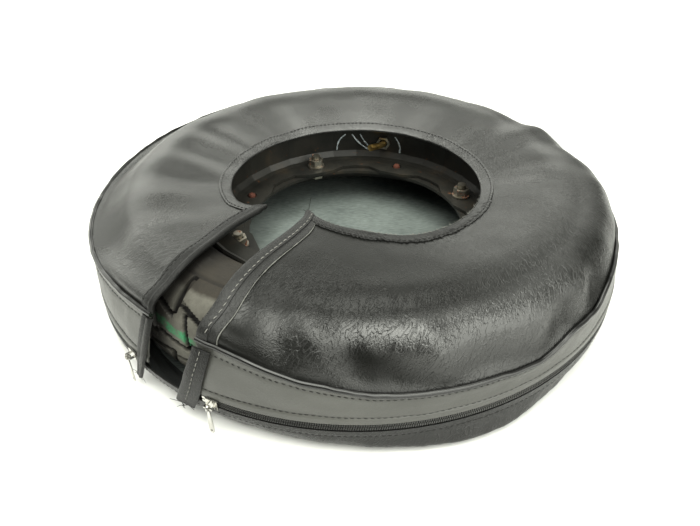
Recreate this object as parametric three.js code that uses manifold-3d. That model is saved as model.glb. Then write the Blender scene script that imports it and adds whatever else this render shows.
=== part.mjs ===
// Zip-up spare wheel cover in black leatherette, fitted on the 10 inch scooter wheel that it holds.
// Units are millimetres, +Z is up. The wheel lies flat with its axle on Z; the back panel rests
// on Z = 0 and the front panel is on top. The slit that lets the carrier bracket in is on the
// -X -Y side. Angles are in degrees round Z from +X. The slit's left and right are as seen from
// outside the cover.
import * as THREE from "three";
import { mergeVertices } from "three/addons/utils/BufferGeometryUtils.js";
import Module from "manifold-3d";

const wasm = await Module();
wasm.setup();

// ---------- driving dimensions ----------
const SEGMENTS = 52;          // steps round each sewn ring
const FABRIC = 1.2;           // leatherette with its textile backing
const BINDING = 0.8;          // folded edge strip
const GAP = 0.4;              // air left between two neighbouring pieces

const ZIP_Z = 28;             // height of the zip's centre line
const BAND_R = 223.0;         // outside of both bands where they meet the zip
const BAND_EDGE = 3.5;        // distance from the centre line to each band's folded edge
const BACK_R = 199.4;         // back panel disc
const HOLE_R = 107;           // centre opening of the front panel
const PIPING_R = 2.6;         // radius of the piping cord
const SLIT_RIGHT = -118.2;    // the slit's two edges at the piping
const SLIT_LEFT = 230.4;

const TYRE_MID = 48;          // height of the wheel's middle plane

// ---------- materials ----------
const dull = (look) => new THREE.MeshStandardMaterial({ ...look, metalness: 0 });
const metal = (look) => new THREE.MeshStandardMaterial({ ...look, metalness: 1 });

const leatherette = dull({ color: 0x23231f, roughness: 0.42 });
const smooth = dull({ color: 0x2b2b28, roughness: 0.35 });
const cord = dull({ color: 0x141518, roughness: 0.25 });
const binding = dull({ color: 0x24262a, roughness: 0.55 });
const textile = dull({ color: 0x5c6464, roughness: 0.9 });
const tape = dull({ color: 0x111111, roughness: 0.85 });
const coil = dull({ color: 0x1a1a1a, roughness: 0.5 });
const rubber = dull({ color: 0x2a2724, roughness: 0.8 });
const tubeRubber = dull({ color: 0x171717, roughness: 0.7 });
const steel = dull({ color: 0x1e1b18, roughness: 0.5 });
const chrome = metal({ color: 0xd8d6d2, roughness: 0.12 });
const zinc = metal({ color: 0x8d8677, roughness: 0.45 });
const brass = metal({ color: 0xb08a3e, roughness: 0.35 });

// ---------- helpers ----------
const RAD = Math.PI / 180;
const TURN = Math.PI * 2;
const lerp = (from, to, part) => from + (to - from) * part;
const range = (first, last) => Array.from({ length: last - first + 1 }, (_, i) => first + i);

function polar(radius, angle, z) {
  return new THREE.Vector3(radius * Math.cos(angle * RAD), radius * Math.sin(angle * RAD), z);
}

// Piecewise cubic through [x, y] pairs. Harmonic mean slopes keep it from overshooting.
function curve(pairs) {
  const last = pairs.length - 1;
  const rise = (i) => (pairs[i + 1][1] - pairs[i][1]) / (pairs[i + 1][0] - pairs[i][0]);
  const slope = pairs.map((_, i) => {
    if (i === 0 || i === last) return 0;
    const before = rise(i - 1), after = rise(i);
    return before * after <= 0 ? 0 : (2 * before * after) / (before + after);
  });
  return (x) => {
    if (x <= pairs[0][0]) return pairs[0][1];
    if (x >= pairs[last][0]) return pairs[last][1];
    let i = 0;
    while (x > pairs[i + 1][0]) i++;
    const width = pairs[i + 1][0] - pairs[i][0];
    const part = (x - pairs[i][0]) / width, square = part * part, cube = square * part;
    return (2 * cube - 3 * square + 1) * pairs[i][1] +
      (cube - 2 * square + part) * width * slope[i] +
      (-2 * cube + 3 * square) * pairs[i + 1][1] + (cube - square) * width * slope[i + 1];
  };
}

// Curve through [x, radius, z] rows, giving [radius, z] at x.
function profileCurve(rows) {
  const radius = curve(rows.map((row) => [row[0], row[1]]));
  const height = curve(rows.map((row) => [row[0], row[2]]));
  return (x) => [radius(x), height(x)];
}

function reverseWinding(triangles) {
  for (let i = 0; i < triangles.length; i += 3) {
    [triangles[i + 1], triangles[i + 2]] = [triangles[i + 2], triangles[i + 1]];
  }
}

// Geometry with its faces turned outwards, whichever way the triangles were listed.
function geometryFrom(points, triangles) {
  let volume = 0;
  for (let i = 0; i < triangles.length; i += 3) {
    const [a, b, c] = triangles.slice(i, i + 3).map((corner) => points[corner]);
    volume += a.dot(b.clone().cross(c));
  }
  if (volume < 0) reverseWinding(triangles);
  const positions = new Float32Array(points.flatMap((point) => [point.x, point.y, point.z]));
  const geometry = new THREE.BufferGeometry();
  geometry.setAttribute("position", new THREE.BufferAttribute(positions, 3));
  geometry.setIndex(triangles);
  geometry.computeVertexNormals();
  return geometry;
}

// Triangles of a flat end section, as indices into it.
function capTriangles(section) {
  const origin = section[0];
  const offsets = section.map((point) => point.clone().sub(origin));
  const axisX = offsets[1].clone().normalize();
  const normal = new THREE.Vector3();
  for (let j = 1; j < section.length - 1; j++) normal.add(offsets[j].clone().cross(offsets[j + 1]));
  const axisY = normal.normalize().cross(axisX);
  const flat = offsets.map((offset) => new THREE.Vector2(offset.dot(axisX), offset.dot(axisY)));
  return THREE.ShapeUtils.triangulateShape(flat, []);
}

// A solid swept through sections that have the same number of points, in order round each.
function sweep(sections, closed = false) {
  const size = sections[0].length, total = sections.length, triangles = [];
  for (let i = 0; i < (closed ? total : total - 1); i++) {
    const here = i * size, there = ((i + 1) % total) * size;
    for (let j = 0; j < size; j++) {
      const k = (j + 1) % size;
      triangles.push(here + j, here + k, there + k, here + j, there + k, there + j);
    }
  }
  if (!closed) {
    const end = (total - 1) * size;
    for (const [a, b, c] of capTriangles(sections[0])) triangles.push(a, c, b);
    for (const [a, b, c] of capTriangles(sections[total - 1])) {
      triangles.push(end + a, end + b, end + c);
    }
  }
  return geometryFrom(sections.flat(), triangles);
}

// A sheet of fabric: at(across, along) gives its outside, both running from 0 to 1.
// grow thickens it on both faces.
function sheet(at, rows, { closed = false, grow = 0 } = {}) {
  const step = 1e-3;
  const sections = range(0, closed ? SEGMENTS - 1 : SEGMENTS).map((i) => {
    const along = i / SEGMENTS, outside = [], inside = [];
    const before = closed ? along - step : Math.max(0, along - step);
    const after = closed ? along + step : Math.min(1, along + step);
    for (let j = 0; j <= rows; j++) {
      const across = j / rows, point = at(across, along);
      const runAcross = at(Math.min(1, across + step), along)
        .sub(at(Math.max(0, across - step), along));
      const runAlong = at(across, after).sub(at(across, before));
      const normal = runAcross.cross(runAlong).normalize();
      outside.push(point.clone().addScaledVector(normal, grow));
      inside.push(point.clone().addScaledVector(normal, -FABRIC - grow));
    }
    return [...outside, ...inside.reverse()];
  });
  return sweep(sections, closed);
}

// An arc of rectangular section.
function arc(inner, outer, [bottom, top], start, end, steps) {
  return sweep(range(0, steps).map((i) => {
    const angle = lerp(start, end, i / steps);
    return [polar(inner, angle, bottom), polar(outer, angle, bottom),
      polar(outer, angle, top), polar(inner, angle, top)];
  }));
}

function solid(geometry) {
  const loose = geometry.index ? geometry.toNonIndexed() : geometry.clone();
  const bare = new THREE.BufferGeometry();
  bare.setAttribute("position", loose.getAttribute("position"));
  const merged = mergeVertices(bare, 1e-4);
  return new wasm.Manifold(new wasm.Mesh({
    numProp: 3,
    vertProperties: merged.attributes.position.array,
    triVerts: new Uint32Array(merged.index.array),
  }));
}

function geometryOf(manifold) {
  const { numVert, numProp, vertProperties, triVerts } = manifold.getMesh();
  const positions = new Float32Array(numVert * 3);
  for (let i = 0; i < numVert; i++) {
    positions.set(vertProperties.subarray(i * numProp, i * numProp + 3), i * 3);
  }
  const geometry = new THREE.BufferGeometry();
  geometry.setAttribute("position", new THREE.BufferAttribute(positions, 3));
  geometry.setIndex(new THREE.BufferAttribute(triVerts, 1));
  geometry.computeVertexNormals();
  return geometry;
}

// Turns a closed outline of [radius, z] points round Z, with its faces outwards.
function lathe(profile, steps) {
  const outline = [...profile, profile[0]].map(([radius, z]) => new THREE.Vector2(radius, z));
  const geometry = new THREE.LatheGeometry(outline, steps).rotateX(Math.PI / 2);
  if (solid(geometry).volume() <= 0) reverseWinding(geometry.index.array);
  return geometry;
}

function collar(inner, outer, bottom, top, steps) {
  return solid(lathe([[inner, bottom], [outer, bottom], [outer, top], [inner, top]], steps));
}

function cylinder(radius, height, steps, z) {
  const geometry = new THREE.CylinderGeometry(radius, radius, height, steps);
  return solid(geometry.rotateX(Math.PI / 2).translate(0, 0, z));
}

const circle = (radius) => new THREE.Shape().absarc(0, 0, radius, 0, TURN, false);
const roundHole = (x, y, radius) => new THREE.Path().absarc(x, y, radius, 0, TURN, true);
const extrude = (shape, depth, curveSegments) =>
  new THREE.ExtrudeGeometry(shape, { depth, bevelEnabled: false, curveSegments });

const group = new THREE.Group();

function add(name, geometry, material, parent = group) {
  const mesh = new THREE.Mesh(geometry, material);
  mesh.name = name;
  parent.add(mesh);
}

// ---------- the front panel's shape ----------
const FRONT_ROWS = 8;         // steps across the front panel, from the opening to the piping

// It drapes from the centre opening over the tyre's shoulder to the piping.
// Rows are [angle, radius] or [angle, z].
const pipingRadius = curve([
  [-132, 216], [-118, 217.2], [-110, 219], [-102, 221], [-90, 222], [-80, 222.5], [-65, 223],
  [-56, 222.3], [-48, 221], [-30, 221.5], [-15, 221.5], [0, 220], [9, 216.6], [17, 216.4],
  [28, 218], [45, 220], [90, 221], [135, 220.5], [180, 221.5], [195, 222], [206, 220.5],
  [217, 217.5], [228, 216],
]);
const pipingHeight = curve([
  [-132, 74], [-118, 73], [-110, 70], [-102, 64], [-92, 59], [-80, 55.5], [-65, 55],
  [-56, 53.5], [-48, 57], [-38, 62], [-25, 66], [0, 69], [15, 71], [40, 74], [90, 78],
  [140, 76], [180, 72], [195, 70], [210, 70.5], [228, 74],
]);
const openingRadius = curve([
  [-118.5, 78], [-110, 84], [-98, 93], [-88, 98.5], [-76, 104], [-62, 107], [-40, HOLE_R],
  [180, HOLE_R], [205, 106], [214, 101], [222, 94],
]);
const openingHeight = curve([
  [-118.5, 94], [-88, 96], [-70, 92], [-45, 87], [-15, 83], [30, 80.5], [90, 79.5],
  [150, 81], [180, 84], [205, 89], [222, 93],
]);
const crownHeight = curve([
  [-118, 98.2], [-60, 97.8], [0, 97.4], [90, 97.2], [180, 97.4], [228, 98.2],
]);

// The slit's edges as [across, angle], from 0 at the opening to 1 at the piping.
const slitRight = curve([
  [0, -118.6], [0.15, -116.2], [0.5, -117.6], [0.8, -117.2], [1, SLIT_RIGHT],
]);
const slitLeft = curve([
  [0, 220.6], [0.12, 222.8], [0.3, 226.0], [0.5, 229.0], [0.75, 230.8], [1, SLIT_LEFT],
]);

// Outside of the front panel as [radius, z].
function frontProfile(across, angle) {
  const holeR = openingRadius(angle), holeZ = openingHeight(angle);
  const rimR = pipingRadius(angle), rimZ = pipingHeight(angle);
  const crown = crownHeight(angle);
  const points = [
    [holeR, holeZ],
    [lerp(holeR, 170, 0.5), lerp(holeZ, crown, 0.62)],
    [169, crown],
    [187, crown - 2.2],
    [199, crown - 8.5],
    [lerp(209.2, rimR, 0.18), Math.max(rimZ + 10, crown - 18)],
    [lerp(213.4, rimR, 0.4), rimZ + 6.5],
    [rimR - 2.9, rimZ + 2.6],
  ];
  const distance = [0];
  for (let i = 1; i < points.length; i++) {
    const [radius, z] = points[i], [lastRadius, lastZ] = points[i - 1];
    distance.push(distance[i - 1] + Math.hypot(radius - lastRadius, z - lastZ));
  }
  const length = distance[distance.length - 1];
  return profileCurve(points.map((point, i) => [distance[i] / length, ...point]))(across);
}

const frontAngle = (across, along) => lerp(slitRight(across), slitLeft(across), along);

function frontPoint(across, angle) {
  const [radius, z] = frontProfile(across, angle);
  return polar(radius, angle, z);
}

const frontAt = (across, along) => frontPoint(across, frontAngle(across, along));

// ---------- bands, back panel and piping ----------
const BAND_LEAN = 1.4;        // degrees the upper band's ends shift from the piping to the zip
const BAND_BEND = 0.85;       // how far across the upper band its straight foot begins
const BAND_FOOT = 4.2;        // height of that foot

// Outside of the upper band, across from 0 at the piping to 1 at the folded edge over the zip.
function upperBandAt(across, along) {
  const angle = lerp(SLIT_RIGHT, SLIT_LEFT, along) - BAND_LEAN * across;
  const edge = ZIP_Z + BAND_EDGE;
  if (across > BAND_BEND) {
    const part = (across - BAND_BEND) / (1 - BAND_BEND);
    return polar(BAND_R, angle, lerp(edge + BAND_FOOT, edge, part));
  }
  const topRadius = pipingRadius(angle) + 0.2;
  const top = pipingHeight(angle) - PIPING_R - 0.7;
  const part = across / BAND_BEND;
  const radius = lerp(topRadius, BAND_R, Math.sin((part * Math.PI) / 2));
  return polar(radius, angle, lerp(top, edge + BAND_FOOT, part));
}

// Outside of the lower band: [across, radius, z], from the zip down to the back panel.
const lowerBandProfile = profileCurve([
  [0, BAND_R, ZIP_Z - BAND_EDGE], [0.2, BAND_R, ZIP_Z - BAND_EDGE - 5.2],
  [0.42, 221.2, 11.8], [0.6, 217.2, 6.6], [0.8, 209.5, 2.2], [1, 199.9, 0.35],
]);

function lowerBandAt(across, along) {
  const [radius, z] = lowerBandProfile(across);
  return polar(radius, along * 360, z);
}

function backPanel() {
  const count = SEGMENTS, points = [], triangles = [];
  for (const z of [0, FABRIC]) {
    for (let i = 0; i < count; i++) points.push(polar(BACK_R, (i * 360) / count, z));
  }
  points.push(new THREE.Vector3(0, 0, 0), new THREE.Vector3(0, 0, FABRIC));
  for (let i = 0; i < count; i++) {
    const j = (i + 1) % count;
    triangles.push(2 * count, j, i, 2 * count + 1, count + i, count + j);
    triangles.push(i, j, count + j, i, count + j, count + i);
  }
  return geometryFrom(points, triangles);
}

function piping() {
  const sides = 6;
  return sweep(range(0, SEGMENTS).map((i) => {
    const angle = lerp(SLIT_RIGHT, SLIT_LEFT, i / SEGMENTS);
    const radius = pipingRadius(angle), z = pipingHeight(angle);
    return range(0, sides - 1).map((j) => {
      const round = (j * TURN) / sides;
      return polar(radius + PIPING_R * Math.cos(round), angle, z + PIPING_R * Math.sin(round));
    });
  }));
}

// ---------- zip tapes and teeth ----------
const TAPE_R = 220.9, TAPE_T = 0.6, TAPE_REACH = 9.3;
const TOOTH_R0 = 221.3, TOOTH_R1 = 223.6;
const ROW_NEAR = 0.4, ROW_FAR = 2.5;          // each tooth row, from the zip's centre line
const RIGHT_END = -117.6, LEFT_END = 226.4;   // the zip's two ends, beside the slit
const TEETH_INSET = 1.0;                      // degrees from the tape's end to the teeth

// Heights [bottom, top] of a piece that lies above or below the zip's centre line.
function zipSpan(side, near, far) {
  return side === "upper" ? [ZIP_Z + near, ZIP_Z + far] : [ZIP_Z - far, ZIP_Z - near];
}

function addZipHalf(side) {
  const tapeSpan = zipSpan(side, ROW_NEAR, TAPE_REACH), rowSpan = zipSpan(side, ROW_NEAR, ROW_FAR);
  add("zip_tape_" + side,
    arc(TAPE_R - TAPE_T, TAPE_R, tapeSpan, RIGHT_END, LEFT_END, SEGMENTS), tape);
  const first = RIGHT_END + TEETH_INSET, last = LEFT_END - TEETH_INSET;
  add("zip_teeth_" + side, arc(TOOTH_R0, TOOTH_R1, rowSpan, first, last, SEGMENTS), coil);
}

// ---------- the two shells ----------
add("back_panel", backPanel(), textile);
add("lower_band", sheet(lowerBandAt, 5, { closed: true }), leatherette);
addZipHalf("lower");
add("front_panel", sheet(frontAt, FRONT_ROWS), leatherette);
add("upper_band", sheet(upperBandAt, 3), smooth);
add("edge_piping", piping(), cord);
addZipHalf("upper");

// ---------- bindings on the front panel's free edges ----------
const SLIT_GAP = 0.9;         // the panel is doubly curved at the slit, so strips stand off more
const ROOM = 0.35;            // clearance cut on both faces of the panel
const END_ROOM = 0.7;         // clearance cut beyond each slit edge

// One leg of the strip lies on the outside, the other turns down past the edge.
function edgeStrip(rows, width, gap) {
  return sweep(rows.map(({ edge, inside, next }) => {
    const inward = inside.clone().sub(edge).normalize();
    const outward = inward.clone().cross(next).normalize();
    return [
      [width, gap + BINDING], [-GAP - BINDING, gap + BINDING], [-GAP - BINDING, -FABRIC],
      [-GAP, -FABRIC], [-GAP, gap], [width, gap],
    ].map(([reach, lift]) =>
      edge.clone().addScaledVector(inward, reach).addScaledVector(outward, lift));
  }));
}

function slitRow(row, side) {
  const across = Math.min(0.985, row / FRONT_ROWS), step = 0.01;
  const [end, inner] = side === "left" ? [1, 1 - 1 / SEGMENTS] : [0, 1 / SEGMENTS];
  const next = frontAt(Math.min(1, across + step), end)
    .sub(frontAt(Math.max(0, across - step), end));
  if (side === "right") next.negate();
  return { edge: frontAt(across, end), inside: frontAt(across, inner), next };
}

function openingRow(column) {
  const along = column / SEGMENTS, step = 0.004;
  return {
    edge: frontAt(0, along),
    inside: frontAt(1 / FRONT_ROWS, along),
    next: frontAt(0, along + step).sub(frontAt(0, along - step)),
  };
}

function widerFrontAt(across, along) {
  const angle = frontAngle(across, along), [radius] = frontProfile(across, angle);
  return frontPoint(across, angle + ((2 * along - 1) * END_ROOM) / radius / RAD);
}

const panelRoom = solid(sheet(widerFrontAt, FRONT_ROWS, { grow: ROOM }));

// Cuts the panel's room out of a strip and keeps the largest piece.
function trimmed(strip) {
  const pieces = solid(strip).subtract(panelRoom).decompose();
  return geometryOf(pieces.sort((a, b) => b.volume() - a.volume())[0]);
}

const openingRows = range(2, SEGMENTS - 1).map(openingRow);
add("opening_binding", trimmed(edgeStrip(openingRows, 9.5, GAP)), binding);
for (const [side, width] of [["left", 8.5], ["right", 11.5]]) {
  const rows = range(0, FRONT_ROWS).map((row) => slitRow(row, side));
  add("slit_binding_" + side, trimmed(edgeStrip(rows, width, SLIT_GAP)), binding);
}

// Below the piping each slit edge has a second strip, whose tail hangs over the zip's end.
// Rows are [z, free edge's angle, inner edge's angle, inside radius].
const slitTails = {
  right: [
    [66, -118.6, -115.2, 219.4], [56, -119.6, -115.9, 221.7], [46, -120.6, -116.3, 223.2],
    [33, -122.0, -117.5, 224.4], [25, -123.0, -118.3, 224.5], [15, -124.0, -119.6, 224.2],
  ],
  left: [
    [66, 230.9, 228.4, 218.7], [56, 230.4, 227.9, 221.3], [46, 229.7, 227.3, 223.2],
    [34, 228.5, 226.3, 224.6], [25, 227.6, 225.7, 224.9], [15, 226.6, 224.9, 225.4],
  ],
};
for (const [side, rows] of Object.entries(slitTails)) {
  const sections = rows.map(([z, free, inner, radius]) => [
    polar(radius, free, z), polar(radius, inner, z),
    polar(radius + BINDING, inner, z), polar(radius + BINDING, free, z),
  ]);
  add("slit_tail_" + side, sweep(sections), binding);
}

// ---------- zip end stops, sliders and pulls ----------
// Name, angle, and the direction along the zip away from the slit.
const zipEnds = [["right", RIGHT_END, 1], ["left", LEFT_END, -1]];
const STOP_INSET = 0.4, STOP_HALF = 0.3, SLIDER_INSET = 2.3;   // degrees
const BAR_R = 229.2;          // radius of the bridge bar that the pull hinges on

for (const [end, angle, inward] of zipEnds) {
  const middle = angle + inward * STOP_INSET;
  for (const side of ["upper", "lower"]) {
    const span = zipSpan(side, ROW_NEAR, ROW_FAR);
    add(`zip_stop_${end}_${side}`,
      arc(TOOTH_R0, TOOTH_R1 + 0.2, span, middle - STOP_HALF, middle + STOP_HALF, 1), chrome);
  }
}

// Sliders and pulls are drawn with x out of the cover, y along the zip and z up.
// Rows are [size x, size y, size z, centre x, centre y].
const sliderBlocks = [
  [1.1, 9.4, 7.6, 224.95, 0],     // outer plate
  [1.1, 8.6, 7.2, 219.15, 0],     // inner plate
  [6.2, 2.6, 0.36, 222.0, 0],     // neck between the two tooth rows
  [4.6, 1.2, 1.5, 227.5, 2.9],    // bridge feet
  [4.6, 1.2, 1.5, 227.5, -2.9],
  [1.1, 6.6, 1.1, BAR_R, 0],      // bridge bar
];

function slider() {
  const blocks = sliderBlocks.map(([sizeX, sizeY, sizeZ, x, y]) =>
    solid(new THREE.BoxGeometry(sizeX, sizeY, sizeZ).translate(x, y, ZIP_Z)));
  return geometryOf(blocks.reduce((whole, block) => whole.add(block)));
}

// Outline of the pull's tab: [along the zip, z], hanging from 0.
const pullOutline = [
  [0.9, 0], [-0.9, 0], [-1.3, -6], [-1.9, -17], [-1.9, -21],
  [-1.2, -22.6], [1.2, -22.6], [1.9, -21], [1.9, -17], [1.3, -6],
];
const PULL_T = 0.9;

function pull() {
  const eye = collar(1.15, 2.3, -0.6, 0.6, 12).rotate([90, 0, 0]).translate([BAR_R, 0, ZIP_Z]);
  const shape = new THREE.Shape(pullOutline.map(([x, y]) => new THREE.Vector2(x, y)));
  shape.holes.push(roundHole(0, -20, 0.85));
  const tab = extrude(shape, PULL_T, 4)
    .translate(0, 0, -PULL_T / 2)
    .rotateX(Math.PI / 2)
    .rotateZ(Math.PI / 2)
    .translate(BAR_R, 0, ZIP_Z - 1.6);
  return geometryOf(eye.add(solid(tab)));
}

for (const [end, angle, inward] of zipEnds) {
  const turned = new THREE.Group();
  turned.rotation.z = (angle + inward * SLIDER_INSET) * RAD;
  group.add(turned);
  add("zip_slider_" + end, slider(), chrome, turned);
  add("zip_pull_" + end, pull(), chrome, turned);
}

// ---------- tyre and tube ----------
const TYRE_R = 213, TYRE_HALF = 46;
const BOLT_PHASE = 112.3;     // angle of the first bolt

const wheel = new THREE.Group();
wheel.rotation.z = BOLT_PHASE * RAD;      // local +X runs through the first bolt
group.add(wheel);

// Both outlines are [radius, offset from the middle plane].
const fromMiddle = (rows) => rows.map(([radius, offset]) => [radius, TYRE_MID + offset]);
const tyreHalf = [
  [TYRE_R, 0], [TYRE_R - 1.2, 13], [207.5, 26], [198, 38.5], [185, 44.6], [170, TYRE_HALF],
  [156, 43.4], [147, 37.5], [143.2, 31.5], [141.6, 26.2], [127.2, 26.2], [127.2, 17],
  [134, 19.5], [144, 29.5], [157, 37.4], [170, 39.5], [184, 37.6], [196, 27], [203, 11],
];
const tyreMirror = tyreHalf.slice(1).map(([radius, offset]) => [radius, -offset]).reverse();
const TUBE_MID_R = 168;
const tubeOutline = [
  [138.5, 0], [143, 17], [154, 29], [TUBE_MID_R, 33.5], [183, 29], [194, 15],
  [197, 0], [194, -15], [183, -29], [TUBE_MID_R, -33.5], [154, -29], [143, -17],
];

function tube(grow) {
  return lathe(fromMiddle(tubeOutline.map(([radius, offset]) => [
    radius + grow * Math.sign(radius - TUBE_MID_R), offset + grow * Math.sign(offset),
  ])), 24);
}

add("tyre", lathe(fromMiddle([...tyreHalf, ...tyreMirror]), 36), rubber, wheel);
add("inner_tube", tube(0), tubeRubber, wheel);

// ---------- rim ----------
const FLANGE_TOP = 43.0, FLANGE_T = 2.8;
const BOLT_CIRCLE = 107.5;
const RIM_HOLES = 8, RIM_HOLE_R = 4.6;
const LIP = 26.7;             // rim lip's offset from the middle plane
const VALVE_ANGLE = 76.5 - BOLT_PHASE, VALVE_Z = 60;

// Inner edge of a flange: scalloped in the outer (upper) half, round in the other.
function flangeOpening(scalloped) {
  const steps = 48, sharpness = 2.2;
  return new THREE.Path(range(0, steps).map((i) => {
    const angle = (-i / steps) * TURN;
    const wave = 4.5 * Math.tanh(sharpness * Math.cos(8 * angle)) / Math.tanh(sharpness);
    const radius = scalloped ? 97.5 - wave : 96;
    return new THREE.Vector2(radius * Math.cos(angle), radius * Math.sin(angle));
  }));
}

// Each pressed rim half is a barrel and a flange.
function rimHalf(upper) {
  const side = upper ? 1 : -1;
  const top = upper ? FLANGE_TOP : FLANGE_TOP - FLANGE_T - GAP;
  const bottom = top - FLANGE_T;
  const [joint, back] = upper ? [bottom, top] : [top, bottom];   // joint faces the other half
  const lip = (rise) => TYRE_MID + side * (LIP + rise);
  const barrel = solid(lathe([
    [116.5, joint], [121.5, joint + side * 0.6], [126.6, joint + side * 7],
    [126.6, lip(0)], [138.4, lip(0)], [140.4, lip(2.2)], [139.4, lip(4.4)],
    [136.6, lip(2.8)], [123.8, lip(2.8)],
    [123.8, back + side * 6.5], [120.6, back + side * 1.2], [116.5, back],
  ], 32));
  const outline = circle(117.2);
  outline.holes.push(flangeOpening(upper));
  for (let i = 0; i < RIM_HOLES; i++) {
    const angle = (i * TURN) / RIM_HOLES;
    outline.holes.push(
      roundHole(BOLT_CIRCLE * Math.cos(angle), BOLT_CIRCLE * Math.sin(angle), RIM_HOLE_R));
  }
  const rim = barrel.add(solid(extrude(outline, FLANGE_T, 12).translate(0, 0, bottom)));
  return upper ? rim.subtract(valveHole()) : rim;
}

function valveHole() {
  const drill = new THREE.CylinderGeometry(5, 5, 20, 16).rotateZ(Math.PI / 2);
  return solid(drill.translate(124, 0, VALVE_Z)).rotate([0, 0, VALVE_ANGLE]);
}

add("rim_outer_half", geometryOf(rimHalf(true)), steel, wheel);
add("rim_inner_half", geometryOf(rimHalf(false)), steel, wheel);

// ---------- valve ----------
// The stem runs out of the tube, through the rim, and bends. Rows are [x, y, z].
const stemPath = [
  [150, 0, VALVE_Z], [134, 0, VALVE_Z], [118.5, 0, VALVE_Z], [110, 4.6, 61.3], [101, 9.8, 63],
];

function valveStem() {
  const path = new THREE.CatmullRomCurve3(stemPath.map((row) => new THREE.Vector3(...row)));
  const settings = { steps: 8, extrudePath: path, bevelEnabled: false, curveSegments: 5 };
  const stem = solid(new THREE.ExtrudeGeometry(circle(3.2), settings));
  return geometryOf(stem.rotate([0, 0, VALVE_ANGLE]).subtract(solid(tube(0.5))));
}

const valveNut = collar(4.6, 7.2, -1.5, 1.5, 6)
  .rotate([0, 90, 0])
  .translate([121.3, 0, VALVE_Z])
  .rotate([0, 0, VALVE_ANGLE]);
add("valve_stem", valveStem(), brass, wheel);
add("valve_nut", geometryOf(valveNut), zinc, wheel);

// ---------- rim bolts ----------
// Four bolts hold the rim halves together, each with a washer and a nut on the upper side.
const HEAD_TOP = FLANGE_TOP - FLANGE_T * 2 - GAP - GAP;
const HEAD_H = 5;
const boltParts = {
  bolt: cylinder(3.9, 20, 12, HEAD_TOP + 9).add(cylinder(7.2, HEAD_H, 6, HEAD_TOP - HEAD_H / 2)),
  washer: collar(4.3, 8.4, FLANGE_TOP + 0.3, FLANGE_TOP + 1.9, 12),
  nut: collar(4.9, 7.4, FLANGE_TOP + 2.2, FLANGE_TOP + 8.4, 6),
};
for (let i = 0; i < 4; i++) {
  for (const [name, part] of Object.entries(boltParts)) {
    const placed = part.translate([BOLT_CIRCLE, 0, 0]).rotate([0, 0, i * 90]);
    add(`rim_${name}_${i + 1}`, geometryOf(placed), zinc, wheel);
  }
}

export default group;
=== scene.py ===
"""A zipped vinyl cover around a small wheel, lying flat on its back panel.

The wheel's axis is +Z through the origin and the back panel lies at z = 0. The front panel is on
top, with a round opening over the rim. Angles run anticlockwise from +X (right); +Y is the far
side and -Y the near side. A slit cuts the front and the upper band at about -125 degrees. Its
right edge is where the angles start (-118) and its left edge where they end (230).
Shapes are in millimetres and degrees; MM turns them into metres.
"""
import math
import bmesh
import bpy
import numpy as np
from mathutils import Matrix


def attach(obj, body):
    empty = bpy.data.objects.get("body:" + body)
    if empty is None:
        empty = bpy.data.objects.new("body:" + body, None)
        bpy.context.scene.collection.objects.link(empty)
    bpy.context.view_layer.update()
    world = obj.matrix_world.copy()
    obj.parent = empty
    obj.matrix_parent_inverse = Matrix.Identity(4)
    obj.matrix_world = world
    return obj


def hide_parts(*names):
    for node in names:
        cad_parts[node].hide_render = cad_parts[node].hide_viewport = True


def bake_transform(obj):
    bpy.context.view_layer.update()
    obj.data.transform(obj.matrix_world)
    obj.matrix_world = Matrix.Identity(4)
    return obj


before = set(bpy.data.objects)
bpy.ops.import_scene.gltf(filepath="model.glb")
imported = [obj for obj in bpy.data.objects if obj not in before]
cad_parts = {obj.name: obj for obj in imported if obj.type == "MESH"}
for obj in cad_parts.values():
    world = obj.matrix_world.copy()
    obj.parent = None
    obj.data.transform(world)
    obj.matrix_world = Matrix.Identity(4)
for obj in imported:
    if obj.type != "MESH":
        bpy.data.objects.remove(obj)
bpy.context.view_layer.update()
RNG = np.random.RandomState(20467)
RAD = math.pi / 180
MM = 0.001

# ---------------------------------------------------------------- sizes shared with the frame
ZIP_Z = 28.0                     # middle of the zip
BAND_R = 223.0                   # both bands, beside the zip
BAND_EDGE = 3.5                  # from the middle of the zip to each band
PIPING_R = 2.0                   # thickness of the cord, as a radius
FABRIC = 1.2
TAPE_R = 220.9
TOOTH_R0, TOOTH_R1 = 221.3, 223.6
CHAIN_R = 222.5                  # where the tooth pitch is measured
RIGHT_END, LEFT_END = -117.6, 226.4   # ends of the zip
HINGE_DEG = 53.0                 # where the front stays zipped
BOLT_PHASE = 112.3
TYRE_MID = 48.0
FRONT_ROWS, FRONT_COLUMNS = 140, 1100


# ---------------------------------------------------------------- curves, noise and vectors
def curve(pairs):
    """A monotone cubic through (x, y) pairs, level at both ends."""
    x, y = np.array(pairs, float).T
    slope = np.diff(y) / np.diff(x)
    tangent = np.zeros(len(x))
    for i in range(1, len(x) - 1):
        if slope[i - 1] * slope[i] > 0:
            tangent[i] = 2 * slope[i - 1] * slope[i] / (slope[i - 1] + slope[i])

    def value(at):
        at = np.clip(np.asarray(at, float), x[0], x[-1])
        i = np.clip(np.searchsorted(x, at, side="right") - 1, 0, len(x) - 2)
        h = x[i + 1] - x[i]
        t = (at - x[i]) / h
        t2, t3 = t * t, t * t * t
        return ((2 * t3 - 3 * t2 + 1) * y[i] + (t3 - 2 * t2 + t) * h * tangent[i]
                + (-2 * t3 + 3 * t2) * y[i + 1] + (t3 - t2) * h * tangent[i + 1])

    return value


def polar(radius, degrees, z):
    radius, a, z = np.broadcast_arrays(np.asarray(radius, float), np.asarray(degrees) * RAD,
                                       np.asarray(z, float))
    return np.stack([radius * np.cos(a), radius * np.sin(a), z], -1)


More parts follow.
